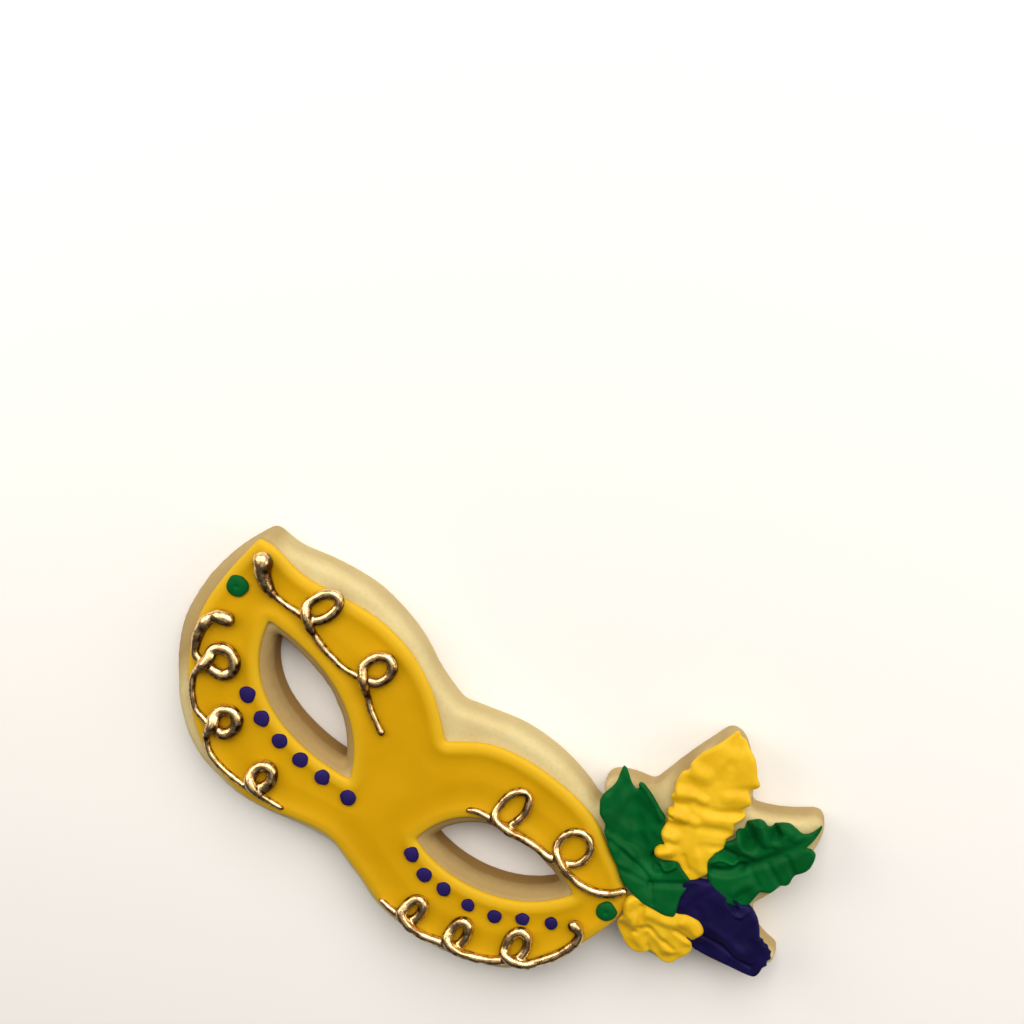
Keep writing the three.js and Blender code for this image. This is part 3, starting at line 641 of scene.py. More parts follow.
# ------------------------------------------------------------------ biscuit
@dataclass
class Biscuit:
    """The rolled, cut and baked base."""

    drawing: Drawing
    edge: float = 1.5
    eye_margin: float = 1.9
    voxel: float = 0.42
    swell: float = 5.0
    swell_height: float = 0.12
    crumb: float = 1.3
    crumb_height: float = 0.05
    crumb_from: float = 6.8     # the crumb grows to twice its height from here down
    crumb_fade: float = 1.5
    shoulder: float = 6.9       # the sides brown from here down
    shoulder_fade: float = 3.0
    plume_from: float = 42.0    # x + y where the plume's sides start to brown more
    plume_fade: float = 8.0
    eye_reach: float = 2.2      # the brown, with its painted shade, round an eye hole fades by one over this length
    eye_most: float = 1.6       # from this at the rim, and is held to 1
    end_from: float = -41.0     # x where the mask's far end starts to brown and take painted shade
    end_fade: float = 4.0
    side_brown: float = 0.3
    plume_brown: float = 0.55
    eye_brown_and_shade: float = 0.75
    end_brown_and_shade: float = 0.6
    # Patches of the crust with baked brown and painted shade between the leaves: x, y, reach and
    # how dark.
    browned_and_shaded: tuple[tuple[float, float, float, float], ...] = (
        (33.0, 25.0, 5.0, 0.5), (37.0, 34.0, 5.0, 0.75), (38.0, 42.0, 5.0, 0.6),
        (62.0, 41.0, 3.5, 0.35), (63.0, 27.0, 4.0, 0.4), (71.0, 14.0, 4.0, 0.3))

    def rim(self) -> Rim:
        """The baked side: a tucked foot, a near upright wall and a rounded shoulder."""
        top = BISCUIT_TOP
        foot = [(0.55, 0.0), (0.22, 0.1), (0.05, 0.45), (0.0, 1.2), (0.0, 3.2), (0.08, 4.8)]
        shoulder = [(0.22, 5.8), (0.5, 6.4), (0.95, 6.88), (self.edge, 7.1), (self.edge + 0.7, top)]
        bare = [(self.edge + 1.6, top), (3.2, top)]
        under = [(3.2, 0.0), (1.4, 0.0)]
        curve = spline(under + foot + shoulder + bare, 12)
        eyes = tuple(eye_outline(eye, self.eye_margin) for eye in EYES)
        return Rim((cutter_outline(), *eyes), (1, -1, -1), curve, 2.4,
                   lambda points, depth: np.full(len(points), top))

    def toast_and_shade(self, points: np.ndarray) -> np.ndarray:
        """How brown each point baked, most on the plume's and eye holes' sides, plus painted shade.
        the cut sides, above all in the plume and the eye holes.
        """
        low = np.clip((self.shoulder - points[:, 2]) / self.shoulder_fade, 0, 1)
        plume = np.clip((points[:, 0] + points[:, 1] - self.plume_from) / self.plume_fade, 0, 1)
        tree = kd_of(np.vstack([eye_outline(eye, self.eye_margin) for eye in EYES]))
        away = np.array([tree.find((x, y, 0))[2] for x, y, _ in points])
        # Painted shade: the eye holes, the mask's far end and the patches below are darkened for
        # the shade they lie in, on top of their baked brown.
        eyes = np.clip(self.eye_most - away / self.eye_reach, 0, 1)
        end = np.clip((self.end_from - points[:, 0]) / self.end_fade, 0, 1)
        sides = low * np.maximum(self.side_brown, np.maximum(self.plume_brown * plume, eyes))
        crust_and_shade = np.maximum(self.eye_brown_and_shade * eyes, self.end_brown_and_shade * end)
        for x, y, reach, depth in self.browned_and_shaded:
            away = np.hypot(points[:, 0] - x, points[:, 1] - y) / reach
            crust_and_shade = np.maximum(crust_and_shade, depth * np.exp(-(away**2)))
        return np.clip(np.maximum(sides, crust_and_shade), 0, 1)

    def build(self) -> bpy.types.Object:
        """Cuts the biscuit, rounds its rim and gives the crust its small unevenness."""
        piece = plate("cookie_biscuit", cutter_outline(), 0.0, BISCUIT_TOP)
        for i, eye in enumerate(EYES):
            cut(piece, plate(f"eye_cutter_{i}", eye_outline(eye, self.eye_margin), -3.0, 12.0))
        add_modifier(piece, "REMESH", mode="VOXEL", voxel_size=self.voxel)
        self.rim().shape(piece, BISCUIT_TOP / 2)
        add_modifier(piece, "SMOOTH", factor=0.5, iterations=2)
        points = coordinates(piece)
        free = np.clip(points[:, 2], 0, 1)[:, None]
        out = vertex_normals(piece)
        low = np.clip((self.crumb_from - points[:, 2]) / self.crumb_fade, 0, 1)
        relief = ripple(points, self.swell, self.swell_height, 3.0)
        relief += self.crumb_height * (1 + low) * ripple(points, self.crumb, 1.0, 11.0)
        set_coordinates(piece, points + free * out * relief[:, None])
        mark(piece, "toast_and_shade", self.toast_and_shade(points))
        smooth_shade(piece)
        self.drawing.place(piece)
        return piece


# ------------------------------------------------------------------ flood icing
@dataclass
class FloodIcing:
    """The yellow layer: run out to a bead at every edge, with a shallow ridge behind it."""

    drawing: Drawing
    low: float = 7.12
    level: float = ICING_TOP - 0.15
    ridge: float = 0.24
    ridge_at: float = 1.7
    ridge_width: float = 0.9
    trough: float = 0.14
    trough_at: float = 2.6      # times the ridge's distance from the edge
    trough_width: float = 2.0   # times the ridge's width
    swell: float = 14.0
    swell_height: float = 0.09
    pale_reach: float = 1.5
    pale_most: float = 0.8
    voxel: float = 0.3

    def top(self, points: np.ndarray, depth: np.ndarray) -> np.ndarray:
        """The icing's height above the table.

        Args:
            points: where it is asked.
            depth: how far each point stands in from the nearest edge.

        Returns:
            One height a point.
        """
        ridge = self.ridge * np.exp(-(((depth - self.ridge_at) / self.ridge_width) ** 2))
        away = (depth - self.trough_at * self.ridge_at) / (self.trough_width * self.ridge_width)
        trough = self.trough * np.exp(-(away**2))
        flat = points.copy()
        flat[:, 2] = 0
        return self.level + ridge - trough + ripple(flat, self.swell, self.swell_height, 5.0)

    def rim(self) -> Rim:
        """The icing's side: it hangs a little over its foot and rounds into the ridge."""
        low = self.low
        edge = [(3.0, low), (0.9, low), (0.28, low), (0.04, low + 0.22), (0.0, low + 0.5),
                (0.12, low + 0.85), (0.45, low + 1.16)]
        inner = np.arange(0.95, 3.2, 0.35)
        level = self.top(np.zeros((len(inner), 3)), inner)
        curve = spline(edge + [(d, z) for d, z in zip(inner, level)], 10)
        eyes = tuple(eye_outline(eye, 0.0) for eye in EYES)
        return Rim((icing_outline(), *eyes), (1, -1, -1), curve, 1.0, self.top)

    def build(self) -> bpy.types.Object:
        """Pours the layer: a plate with two eye openings, drawn on to its rim."""
        piece = plate("flood_icing", icing_outline(), self.low, ICING_TOP)
        for i, eye in enumerate(EYES):
            cut(piece, plate(f"icing_cutter_{i}", eye_outline(eye, 0.0), 0.0, 12.0))
        add_modifier(piece, "REMESH", mode="VOXEL", voxel_size=self.voxel)
        self.rim().shape(piece, (self.low + ICING_TOP) / 2)
        add_modifier(piece, "SMOOTH", factor=0.5, iterations=3)
        points = coordinates(piece)
        edges = [icing_outline(), *(eye_outline(eye, 0.0) for eye in EYES)]
        tree = kd_of(np.vstack(edges))
        away = np.array([tree.find((x, y, 0))[2] for x, y, _ in points])
        # The icing is marked paler near every edge.
        mark(piece, "thin", self.pale_most * np.exp(-((away / self.pale_reach) ** 2)))
        smooth_shade(piece)
        self.drawing.place(piece)
        return piece


# ------------------------------------------------------------------ dots
@dataclass
class Dots:
    """Drops of icing, each a low dome with the trace of the tip that left it.

    places gives each drop's centre and radius; nib is the height of the tip's trace, or less than
    nothing for a dimple.
    """

    drawing: Drawing
    name: str
    places: Sequence[tuple[float, float, float]]
    height: float
    nib: float
    seed: float
    nib_width: float = 0.16
    uneven: float = 0.16
    flatness: float = 0.7
    foot: float = 0.35

    def build(self) -> bpy.types.Object:
        """Sets every drop on the flood icing and joins them."""
        drops = []
        for i, (x, y, radius) in enumerate(self.places):
            bpy.ops.object.select_all(action="DESELECT")
            bpy.ops.mesh.primitive_uv_sphere_add(segments=40, ring_count=20, radius=1)
            drop = bpy.context.active_object
            points = coordinates(drop)
            uneven = 1 + ripple(points * [1, 1, 0] + [i * 7.0, 0, 0], 1.0, self.uneven, self.seed)
            across = np.linalg.norm(points[:, :2], axis=1)
            upper = points[:, 2] > 0
            rise = np.where(upper, self.height * np.abs(points[:, 2]) ** self.flatness,
                            self.foot * points[:, 2])
            rise += self.nib * np.exp(-((across / self.nib_width) ** 2)) * upper
            points[:, :2] *= (radius * uneven)[:, None]
            points[:, 2] = ICING_TOP - SUNK + rise
            set_coordinates(drop, points + [x, y, 0])
            drops.append(drop)
        piece = join(self.name, drops)
        smooth_shade(piece)
        self.drawing.place(piece)
        return piece


# ------------------------------------------------------------------ gold scrolls
@dataclass(frozen=True)
class Loop:
    """A turn of the piped line over itself: an ellipse that leans.

    It starts and ends low, where the turn crosses itself, at the angles first and last.
    """

    x: float
    y: float
    rx: float
    ry: float
    lean: float
    first: float = -70.0
    last: float = 235.0
    stops: int = 8

    def points(self) -> list[Point]:
        """The turn's points, up its right side, over its top and down its left."""
        out = []
        lean = math.radians(self.lean)
        for turn in np.radians(np.linspace(self.first, self.last, self.stops)):
            px, py = self.rx * math.cos(turn), self.ry * math.sin(turn)
            out.append((self.x + px * math.cos(lean) - py * math.sin(lean),
                        self.y + px * math.sin(lean) + py * math.cos(lean)))
        return out


# The direction of the light that the gold's painted shade turns from, as a unit vector: on the left
# lines from the mask's far end, and on the right lines from its brow.
LIT_FROM_END = (-0.5, 0.4, 0.77)
LIT_FROM_BROW = (0.1, 0.6, 0.79)


@dataclass
class Scroll:
    """One piped line with loops, fused where it crosses itself.

    start and end are its radii at its ends, radius is its radius round the loops, and thin the
    share of that which its plain stretches have. A stop with three numbers gives its own share.
    The gold was brushed on. The flank turned from the light and the line's foot are painted dark
    brown as shade, and random patches brown as wear.
    """

    drawing: Drawing
    name: str
    start: float
    end: float
    route: Sequence[Point | tuple[float, float, float] | Loop]
    radius: float = 0.82
    thin: float = 0.85
    blob: float = 4.5
    seed: float = 0.0
    # The direction of the light that the painted shade on the far flank turns from.
    brushed: tuple[float, float, float] = LIT_FROM_END
    step: float = 0.3
    tail: float = 2.5
    cap: float = 0.9
    swell: float = 3.0
    swell_share: float = 0.12
    seat: float = 0.62          # how far its middle stands above its bed, as a share of its radius
    apart: float = 8.0          # how far along a stretch lies before a later one may cross it
    crossing: float = 2.4       # how near the two then come
    rise: float = 1.1           # how far the later one climbs
    steep: float = 1.6          # how soon on the way to the crossing it is up
    ease: int = 4               # points to either side that its climb is averaged over
    deepest: float = 0.25       # how far below the icing's face its underside is cut flat
    voxel: float = 0.17
    wave: float = 1.9
    wave_height: float = 0.09
    grain: float = 0.6
    grain_height: float = 0.015
    edge_on_shade: float = 1.4         # how much painted shade a face gets that stands edge on to the light
    shade_lift: float = 2.1        # how much of that goes as a face turns to the light
    patch: float = 0.9
    patch_depth: float = 1.3
    darkest_shade_and_wear: float = 0.95

    def line(self) -> tuple[np.ndarray, np.ndarray]:
        """The line's centre and its radius all along.

        Returns:
            Points of the centre line, and one radius a point.
        """
        flat: list[tuple[float, ...]] = []
        for stop in self.route:
            if isinstance(stop, Loop):
                flat.extend((*point, 1.0) for point in stop.points())
            else:
                flat.append(stop if len(stop) == 3 else (*stop, self.thin))
        path = evenly(spline(flat), self.step, False)
        path, share = path[:, :2], path[:, 2]
        along = np.arange(len(path)) * self.step
        blob = np.clip(1 - (along / self.blob) ** 2, 0, 1)
        tail = np.clip(1 - ((along[-1] - along) / self.tail) ** 2, 0, 1)
        radius = self.radius * share
        radius += (self.start - radius) * blob + (self.end - radius) * tail
        swells = np.array([noise.noise(Vector((s / self.swell, self.seed, 0))) for s in along])
        radius *= 1 + self.swell_share * swells
        for edge in (along, along[-1] - along):
            radius *= np.sqrt(np.clip(1 - (1 - np.clip(edge / self.cap, 0, 1)) ** 2, 0.05, 1))
        lift = np.zeros(len(path))
        for i in range(len(path)):
            before = path[: max(0, i - int(self.apart / self.step))]
            if len(before):
                near = np.linalg.norm(before - path[i], axis=1).min()
                lift[i] = max(0.0, 1 - near / self.crossing)
        lift = self.rise * np.clip(self.steep * lift, 0, 1)
        window = np.ones(2 * self.ease + 1) / (2 * self.ease + 1)
        lift = np.convolve(np.pad(lift, self.ease, mode="edge"), window, mode="valid")
        height = ICING_TOP - SUNK + self.seat * radius + lift
        return np.column_stack([path, height]), radius

    def build(self) -> bpy.types.Object:
        """Pipes the line, fuses its crossings and roughens it as the brush left it."""
        centre, radius = self.line()
        curve = bpy.data.curves.new(self.name, "CURVE")
        curve.dimensions = "3D"
        curve.bevel_depth = 1.0
        curve.bevel_resolution = 6
        curve.use_fill_caps = True
        strand = curve.splines.new("POLY")
        strand.points.add(len(centre) - 1)
        for point, place, size in zip(strand.points, centre, radius):
            point.co = (*place, 1.0)
            point.radius = size
        piece = bpy.data.objects.new(self.name, curve)
        bpy.context.scene.collection.objects.link(piece)
        select_only(piece)
        bpy.ops.object.convert(target="MESH")
        piece = bpy.context.active_object
        add_modifier(piece, "REMESH", mode="VOXEL", voxel_size=self.voxel)
        add_modifier(piece, "SMOOTH", factor=0.5, iterations=4)
        points = coordinates(piece)
        relief = ripple(points, self.wave, self.wave_height, self.seed)
        relief += ripple(points, self.grain, self.grain_height, self.seed + 9)
        points = points + vertex_normals(piece) * relief[:, None]
        points[:, 2] = np.maximum(points[:, 2], ICING_TOP - self.deepest)
        set_coordinates(piece, points)
        # Painted shade: faces turned from the light, and the line's foot, get the dark brown; the
        # random patches are worn gold.
        painted = vertex_normals(piece) @ np.array(self.brushed)
        patches = ripple(points, self.patch, self.patch_depth, self.seed + 4)
        bare = self.edge_on_shade - self.shade_lift * painted + patches
        mark(piece, "bare", np.clip(bare, 0, self.darkest_shade_and_wear))
        smooth_shade(piece)
        self.drawing.place(piece)
        return piece


# ------------------------------------------------------------------ piped leaves
@dataclass(frozen=True)
class Stroke:
    """A ridge or a groove in a leaf's face.

    It follows a line and is height high, or deep where height is negative, as far as its width
    less its wall to either side; over the wall it runs out. start and end are the shares of its
    height at the ends of its line.
    """

    line: Run
    width: float
    height: float
    wall: float
    start: float = 1.0
    end: float = 1.0

    def relief(self, points: np.ndarray) -> np.ndarray:
        """What the stroke adds to the leaf's height at flat points."""
        path = evenly(spline(self.line, 12), STROKE_STEP, False)
        gap = np.linalg.norm(points[:, None, :] - path[None, :, :], axis=2)
        nearest = gap.argmin(axis=1)
        rise = np.clip((self.width - gap.min(axis=1)) / self.wall, 0, 1)
        along = nearest / (len(path) - 1)
        share = self.start + (self.end - self.start) * along * along * (3 - 2 * along)
        return self.height * share * rise * rise * (3 - 2 * rise)


def groove(line: Run, width: float = 0.8, depth: float = 0.5, wall: float = 0.0, start: float = 1.0,
           end: float = 1.0) -> Stroke:
    """A groove: a soft crease, or a steep hollow where its wall is given."""
    return Stroke(line, width, -depth, wall or width, start, end)


def ridge(line: Run, width: float = 1.2, height: float = 0.4, wall: float = 0.0, start: float = 1.0,
          end: float = 1.0) -> Stroke:
    """A rounded ridge, or a steep one where its wall is given."""
    return Stroke(line, width, height, wall or width, start, end)


@dataclass(frozen=True)
class LeafPlan:
    """A leaf as it was piped.

    outline runs once round it; form gives its height above the bare biscuit at some places, and
    strokes its ridges and grooves.
    """

    outline: Run
    form: tuple[tuple[float, float, float], ...]
    strokes: tuple[Stroke, ...]


# A leaf's edge in section: insets, each with its share of the thickness.
LEAF_SIDE: tuple[Point, ...] = (
    (1.4, 0.0), (0.8, 0.0), (0.45, 0.1), (0.16, 0.3), (0.0, 0.58), (0.05, 0.78), (0.22, 0.92),
    (0.5, 0.985), (0.8, 1.0), (1.6, 1.0))


@dataclass
class PipedLeaf:
    """A leaf of stiff icing, thick, ruffled, and rounded in under its edge."""

    drawing: Drawing
    name: str
    plan: LeafPlan
    seed: float
    low: float = BISCUIT_TOP - SUNK
    plain: float = 2.0          # its thickness before its face gets its form
    thinnest: float = 0.35
    corner: float = 0.4
    lip: float = 0.75           # how far in its rounded edge reaches
    blend: float = 0.8          # how softly one height of its form passes into the next
    voxel: float = 0.17
    sway: float = 2.6
    sway_height: float = 0.1
    grain: float = 0.9
    grain_height: float = 0.02

    def top(self, points: np.ndarray) -> np.ndarray:
        """The face's height above the table at flat points."""
        places = as_array(self.plan.form)
        gap = np.sum((points[:, None, :] - places[None, :, :2]) ** 2, axis=2)
        weight = 1 / (gap + self.blend) ** 2
        height = (weight * places[:, 2]).sum(axis=1) / weight.sum(axis=1)
        height += sum(stroke.relief(points) for stroke in self.plan.strokes)
        flat = np.column_stack([points, np.zeros(len(points))])
        height += ripple(flat, self.sway, self.sway_height, self.seed)
        height += ripple(flat, self.grain, self.grain_height, self.seed + 5)
        return BISCUIT_TOP + np.maximum(height, self.thinnest)

    def build(self) -> bpy.types.Object:
        """Extrudes the leaf's outline, rounds its edge and lifts its face to the plan's form."""
        edge = evenly(as_array(self.plan.outline), STEP, True)
        edge = anticlockwise(soften(edge, self.corner))
        piece = plate(self.name, edge, 0.0, self.plain)
        add_modifier(piece, "REMESH", mode="VOXEL", voxel_size=self.voxel)
        curve = spline([(inset, self.plain * share) for inset, share in LEAF_SIDE], 12)
        Rim((edge,), (1,), curve, self.lip,
            lambda points, depth: np.full(len(points), self.plain)).shape(piece, self.plain / 2)
        points = coordinates(piece)
        share = np.clip(points[:, 2] / self.plain, 0, 1)
        points[:, 2] = self.low + share * (self.top(points[:, :2]) - self.low)
        set_coordinates(piece, points)
        add_modifier(piece, "SMOOTH", factor=0.5, iterations=3)
        smooth_shade(piece)
        self.drawing.place(piece)
        return piece


GREEN_LEFT = LeafPlan(
    outline=(
        (28, 26.9), (28.8, 26.9), (29.6, 26.4), (30.7, 25.6), (31.6, 25.1), (32.6, 24.9),
        (32.9, 25.4), (32.1, 26), (32.1, 26.6), (32.8, 26.8), (35.5, 26.2), (38.2, 25.1),
        (39.5, 24.8), (40.8, 22.7), (41.6, 21.4), (44, 21), (46.2, 19.9), (48.9, 19.2),
        (50.5, 18.8), (50.9, 17.4), (51.1, 15.1), (52.4, 12.6), (53, 11.5), (51.4, 10.4), (49, 10),
        (46.4, 9.5), (44.1, 9.7), (41.4, 10.2), (39.9, 11.2), (38.5, 12.1), (36, 13.3),
        (34.8, 14.3), (33.3, 15.1), (32.6, 16.5), (30.5, 17.3), (28.9, 19.3), (28.7, 20.4),
        (29.1, 22.8), (29, 24), (28.5, 25.3)),
    form=(
        (28.6, 26.2, 1.2), (28.9, 22.8, 1.9), (29.3, 19.9, 2.4), (31.4, 17.2, 2.6),
        (33.6, 15.2, 2.6), (36.3, 13.5, 2.6), (39.5, 11.7, 2.6), (42.9, 10.6, 2.5),
        (46.6, 10.2, 2.6), (31.6, 21.2, 1.8), (35.2, 17.8, 1.9), (39, 14.8, 2), (31.4, 24.9, 1.1),
        (34.1, 22.8, 0.9), (36.4, 20.6, 0.85), (39.2, 18.3, 0.85), (42.2, 16.2, 1),
        (33.4, 26.2, 1.3), (36.2, 25.7, 1.9), (39.2, 24.4, 2), (40.8, 22, 1.9), (38, 22.6, 1.4),
        (40.2, 20, 1.3), (45.6, 13.6, 2.1), (43.6, 17.2, 1.3), (47.7, 17.7, 2.2),
        (50.4, 18.2, 2.2), (51.7, 11.5, 2.6), (50.7, 15, 2.5)),
    strokes=(
        groove(((31.4, 24.9), (34.1, 22.8), (36.4, 20.6), (39.2, 18.3), (42.2, 16.2), (45.3, 14)),
               1.6, 0.35, start=0.5, end=0.5),
        groove(((43.3, 19.6), (43.2, 17.6), (44.6, 16.4)), 1.2, 0.9, 0.8),
        ridge(((44.2, 17.2), (45.8, 17.3), (46.5, 19)), 0.7, 0.75),
        ridge(((32.5, 26.4), (35.9, 25.8), (39.5, 24.2)), 1, 0.3),
        groove(((35.1, 14.8), (39.6, 14.5), (44.7, 13.9)), 0.8, 0.4, start=0.5),
        ridge(((35.4, 16.1), (40, 15.4), (43.3, 14.9)), 1, 0.25),
        groove(((33.2, 16.2), (36.6, 16.2), (40.3, 16.6)), 0.9, 0.25),
        groove(((39.1, 11.8), (42.3, 12.6), (45.6, 13.3)), 0.9, 0.25),
        groove(((45.6, 13.3), (47.7, 15.4), (50.7, 18.2)), 1, 0.45),
        groove(((45.7, 13.2), (48.1, 11)), 0.9, 0.3),
        ridge(((51.7, 12), (51.3, 15.3), (50.7, 17.6)), 1.1, 0.3),
    ))

YELLOW_TOP = LeafPlan(
    outline=(
        (38.7, 45.3), (39.2, 45.1), (39.8, 44.6), (40.6, 45), (42.3, 44.1), (44, 43.5),
        (45.6, 42.2), (46.6, 41), (48, 40.3), (48.1, 39.7), (47.4, 38.5), (47.2, 38), (48.8, 37),
        (49.1, 36.3), (48.5, 35), (49.9, 34.2), (49.7, 33.1), (49.2, 31.9), (50.6, 30.2),
        (50, 28.7), (50.8, 27.6), (50.9, 26.9), (50.2, 25.2), (52.2, 22.4), (50.6, 17.8),
        (49, 17.8), (47.7, 19.2), (46.5, 19.8), (45.3, 19.1), (44.3, 18.3), (43, 18), (42.1, 18.4),
        (41.8, 19.2), (42.1, 20.2), (42.8, 20.8), (41.8, 21.1), (40.6, 22.1), (40.2, 24.5),
        (39, 25.6), (38.7, 26.5), (39.4, 27.2), (38.5, 27.8), (37.5, 28.4), (37.8, 29.3),
        (37.2, 29.9), (36.5, 31.6), (36.3, 33.1), (37, 34.2), (36.4, 35.3), (36.6, 38.2),
        (37.5, 40.5), (38.1, 42.4), (38.4, 44.1)),
    form=(
        (38.9, 44.8, 1), (39.3, 38.8, 1.8), (44.1, 41.2, 1.8), (44.4, 37.3, 1.75),
        (37.4, 34.9, 1.7), (41.5, 36.5, 1.8), (43, 31.8, 1.9), (39.5, 30.6, 1.7),
        (41.4, 26.5, 1.8), (43, 22.4, 2), (43.5, 19.9, 2.4), (48.3, 37.1, 1.5), (45.6, 29.2, 2),
        (49.2, 32.5, 1.6), (47.9, 26.1, 2), (50.2, 29.2, 1.7), (49.6, 22.2, 2), (50.2, 19.7, 1.7)),
    strokes=(
        groove(((39.2, 45.1), (40.6, 42.4), (41.7, 39.8)), 1.2, 0.4, end=0.4),
        groove(((41.7, 39.8), (42.1, 36.4)), 1.8, 0.2),
        ridge(((38.2, 34.9), (39.6, 35.2)), 2.4, 0.6),
        ridge(((38.4, 29.9), (39.6, 30.7)), 2.1, 0.9),
        ridge(((40.9, 31.5), (42.4, 31.8)), 1.4, 0.45),
        ridge(((39.8, 26.2), (41.3, 26.9)), 2.1, 1.1),
        ridge(((42.6, 27.2), (43.9, 27.7)), 1.5, 0.45),
        ridge(((41.5, 22.4), (42.9, 22.9)), 1.8, 0.8),
        ridge(((42.8, 19.3), (44, 20.7)), 1.7, 0.9),
        groove(((39.2, 25.4), (40.3, 25.6)), 0.6, 0.5),
        groove(((42.6, 30.1), (46.3, 32.1), (49.1, 34.4)), 1.4, 0.55, start=0.4),
        groove(((45.5, 27.5), (47.7, 29), (50.1, 30.2)), 1.3, 0.35, start=0.5),
        groove(((47.4, 24.8), (50.7, 27.2)), 1.2, 0.35, start=0.5),
        groove(((43.5, 35.2), (46.1, 37.6), (48.1, 39.6)), 1.2, 0.25, start=0.2),
        ridge(((45, 34.9), (48.4, 37.1)), 1.9, 0.4),
        ridge(((45, 29.4), (46.9, 30.8), (49.1, 32.2)), 1.7, 0.35),
        ridge(((48.6, 23), (50.3, 21.4)), 1.7, 0.35),
        groove(((46.5, 21.4), (48.6, 19.9)), 0.9, 0.3),
    ))

GREEN_RIGHT = LeafPlan(
    outline=(
        (60.5, 42), (60.9, 41.6), (61.2, 40.6), (61.4, 38.8), (61.3, 37.4), (61.1, 36.4),
        (61.9, 37.4), (63.3, 37.2), (63.9, 36), (64.3, 34.4), (64.1, 33.3), (63.3, 31.9),
        (63.2, 31), (63.6, 29.8), (63.4, 29.2), (62.4, 28.4), (62.5, 27.3), (62.3, 26.2),
        (60.7, 25.4), (60.8, 24.3), (61, 22), (60.3, 20.6), (57, 19.4), (53, 20.6), (51.1, 22.1),
        (50.3, 23.3), (50, 24.3), (50.3, 25.5), (50.9, 26.6), (50.4, 27.5), (50.4, 28.5),
        (51, 29.5), (51, 30.3), (50.2, 31), (50.3, 31.9), (51.3, 32.2), (50.9, 32.8), (50.6, 33.7),
        (51, 34.7), (51.8, 35.7), (52.8, 36), (53.9, 35.5), (54.5, 35.9), (54.3, 36.7),
        (55.1, 37.8), (56.2, 38.6), (57.4, 38.6), (59, 38.4), (59.9, 39.1), (60.4, 40.3)),
    form=(
        (60.8, 41, 1.2), (59.6, 37.2, 1.6), (56.3, 36.6, 2.2), (53.4, 34.7, 2.7),
        (51.9, 29.9, 2.6), (51.6, 27.1, 1.9), (50.3, 24.1, 2.6), (51.9, 22.2, 2.2),
        (54, 21.6, 2.2), (56.5, 21.4, 2.2), (59.8, 21.9, 1.5), (60.1, 26.1, 1.9),
        (62.6, 27.6, 1.5), (63.2, 30, 1.4), (63.1, 35.4, 1.4), (57.9, 30.4, 1.9),
        (56.6, 27.5, 1.8), (55.3, 31, 2.4)),
    strokes=(
        groove(((55.3, 26.7), (57.1, 29.5), (58.7, 33), (60.2, 36.5), (60.9, 40.5)),
               1.5, 0.75, end=0.4),
        groove(((52.2, 23.2), (54.1, 24.6), (55.3, 26.7)), 1.4, 0.9),
        ridge(((50.3, 23.9), (51.5, 25.5), (53.8, 26.3)), 0.8, 0.5),
        groove(((50.7, 26.8), (53, 27.4)), 1.1, 1.2, 0.8),
        ridge(((51.2, 30.4), (53.2, 29.5), (55, 30.1)), 1.2, 0.6),
        groove(((50.6, 33.2), (52, 32.5), (53.3, 31.6)), 1.7, 2.1, 1.5),
        groove(((54.2, 36.3), (55.6, 35.5)), 1.35, 1.7, 1.2),
        ridge(((56.7, 34), (57.5, 34.8), (57.2, 36)), 1, 0.35),
        groove(((56.7, 27.4), (59.7, 26.1)), 1, 0.25),
        groove(((58.5, 30.2), (62, 28.8)), 1, 0.35),
        groove(((60, 33.3), (63, 31.7)), 1, 0.35),
        ridge(((57.2, 22.3), (58.1, 24.9)), 1.4, 0.3),
        ridge(((52.7, 35.2), (55.3, 33.3)), 1.4, 0.7),
        ridge(((56.1, 37.3), (58.8, 37.3)), 1.4, 0.4),
    ))

VIOLET_LEAF = LeafPlan(
    outline=(
        (49.6, 18.2), (50.8, 19.4), (53.1, 21.1), (54.3, 21.3), (57.6, 20.9), (58.3, 21.4),
        (59.6, 21.2), (61, 22.2), (62.1, 22), (63.8, 21.2), (65.3, 19.9), (66.5, 18.5),
        (67.1, 18.9), (67.6, 18.2), (68.4, 18.6), (69, 17.9), (69.8, 18), (69.9, 17.2),
        (70.7, 16.9), (70.2, 15.9), (71, 15.3), (70.5, 14.4), (70.9, 13.4), (70.8, 12.1),
        (69.9, 11.6), (66.4, 10.6), (61.4, 9.2), (59.5, 8.8), (57.8, 9), (55.5, 10.4), (53, 10.6),
        (51, 12.6), (50, 15.4)),
    form=(
        (51.2, 18.5, 2.2), (53.6, 21, 2.2), (52.4, 14.4, 2.1), (55.2, 16.6, 2.2), (57.1, 20, 2.4),
        (61.5, 21.5, 2), (60.8, 16.3, 2.3), (58.2, 12.6, 2), (65.6, 18.8, 1.8), (65.8, 14.5, 2),
        (63, 11, 1.3), (60.3, 9.6, 1.2), (66.8, 11.1, 1.2), (70.4, 12.3, 1.1), (69.8, 17, 1.2),
        (68.1, 17.6, 1.5)),
    strokes=(
        groove(((57.8, 20.5), (59.5, 20.1)), 0.8, 1, 0.55),
        ridge(((60.3, 19.2), (61.3, 19.8), (61.4, 21.3)), 0.6, 0.4),
        groove(((58.2, 12.1), (61.6, 12.7), (65.4, 12.8), (68.7, 13.2)),
               0.7, 0.7, start=0.6, end=0.6),
        ridge(((58, 14.1), (61.6, 14.5), (65.8, 14.5)), 1.3, 0.25),
        groove(((54.9, 15.5), (57.9, 13.6)), 1.2, 0.25),
        ridge(((52.4, 14.4), (52.4, 17.1), (53.1, 19.9)), 1.4, 0.3),
        groove(((65.7, 17.1), (67.7, 14.6)), 0.9, 0.2),
    ))

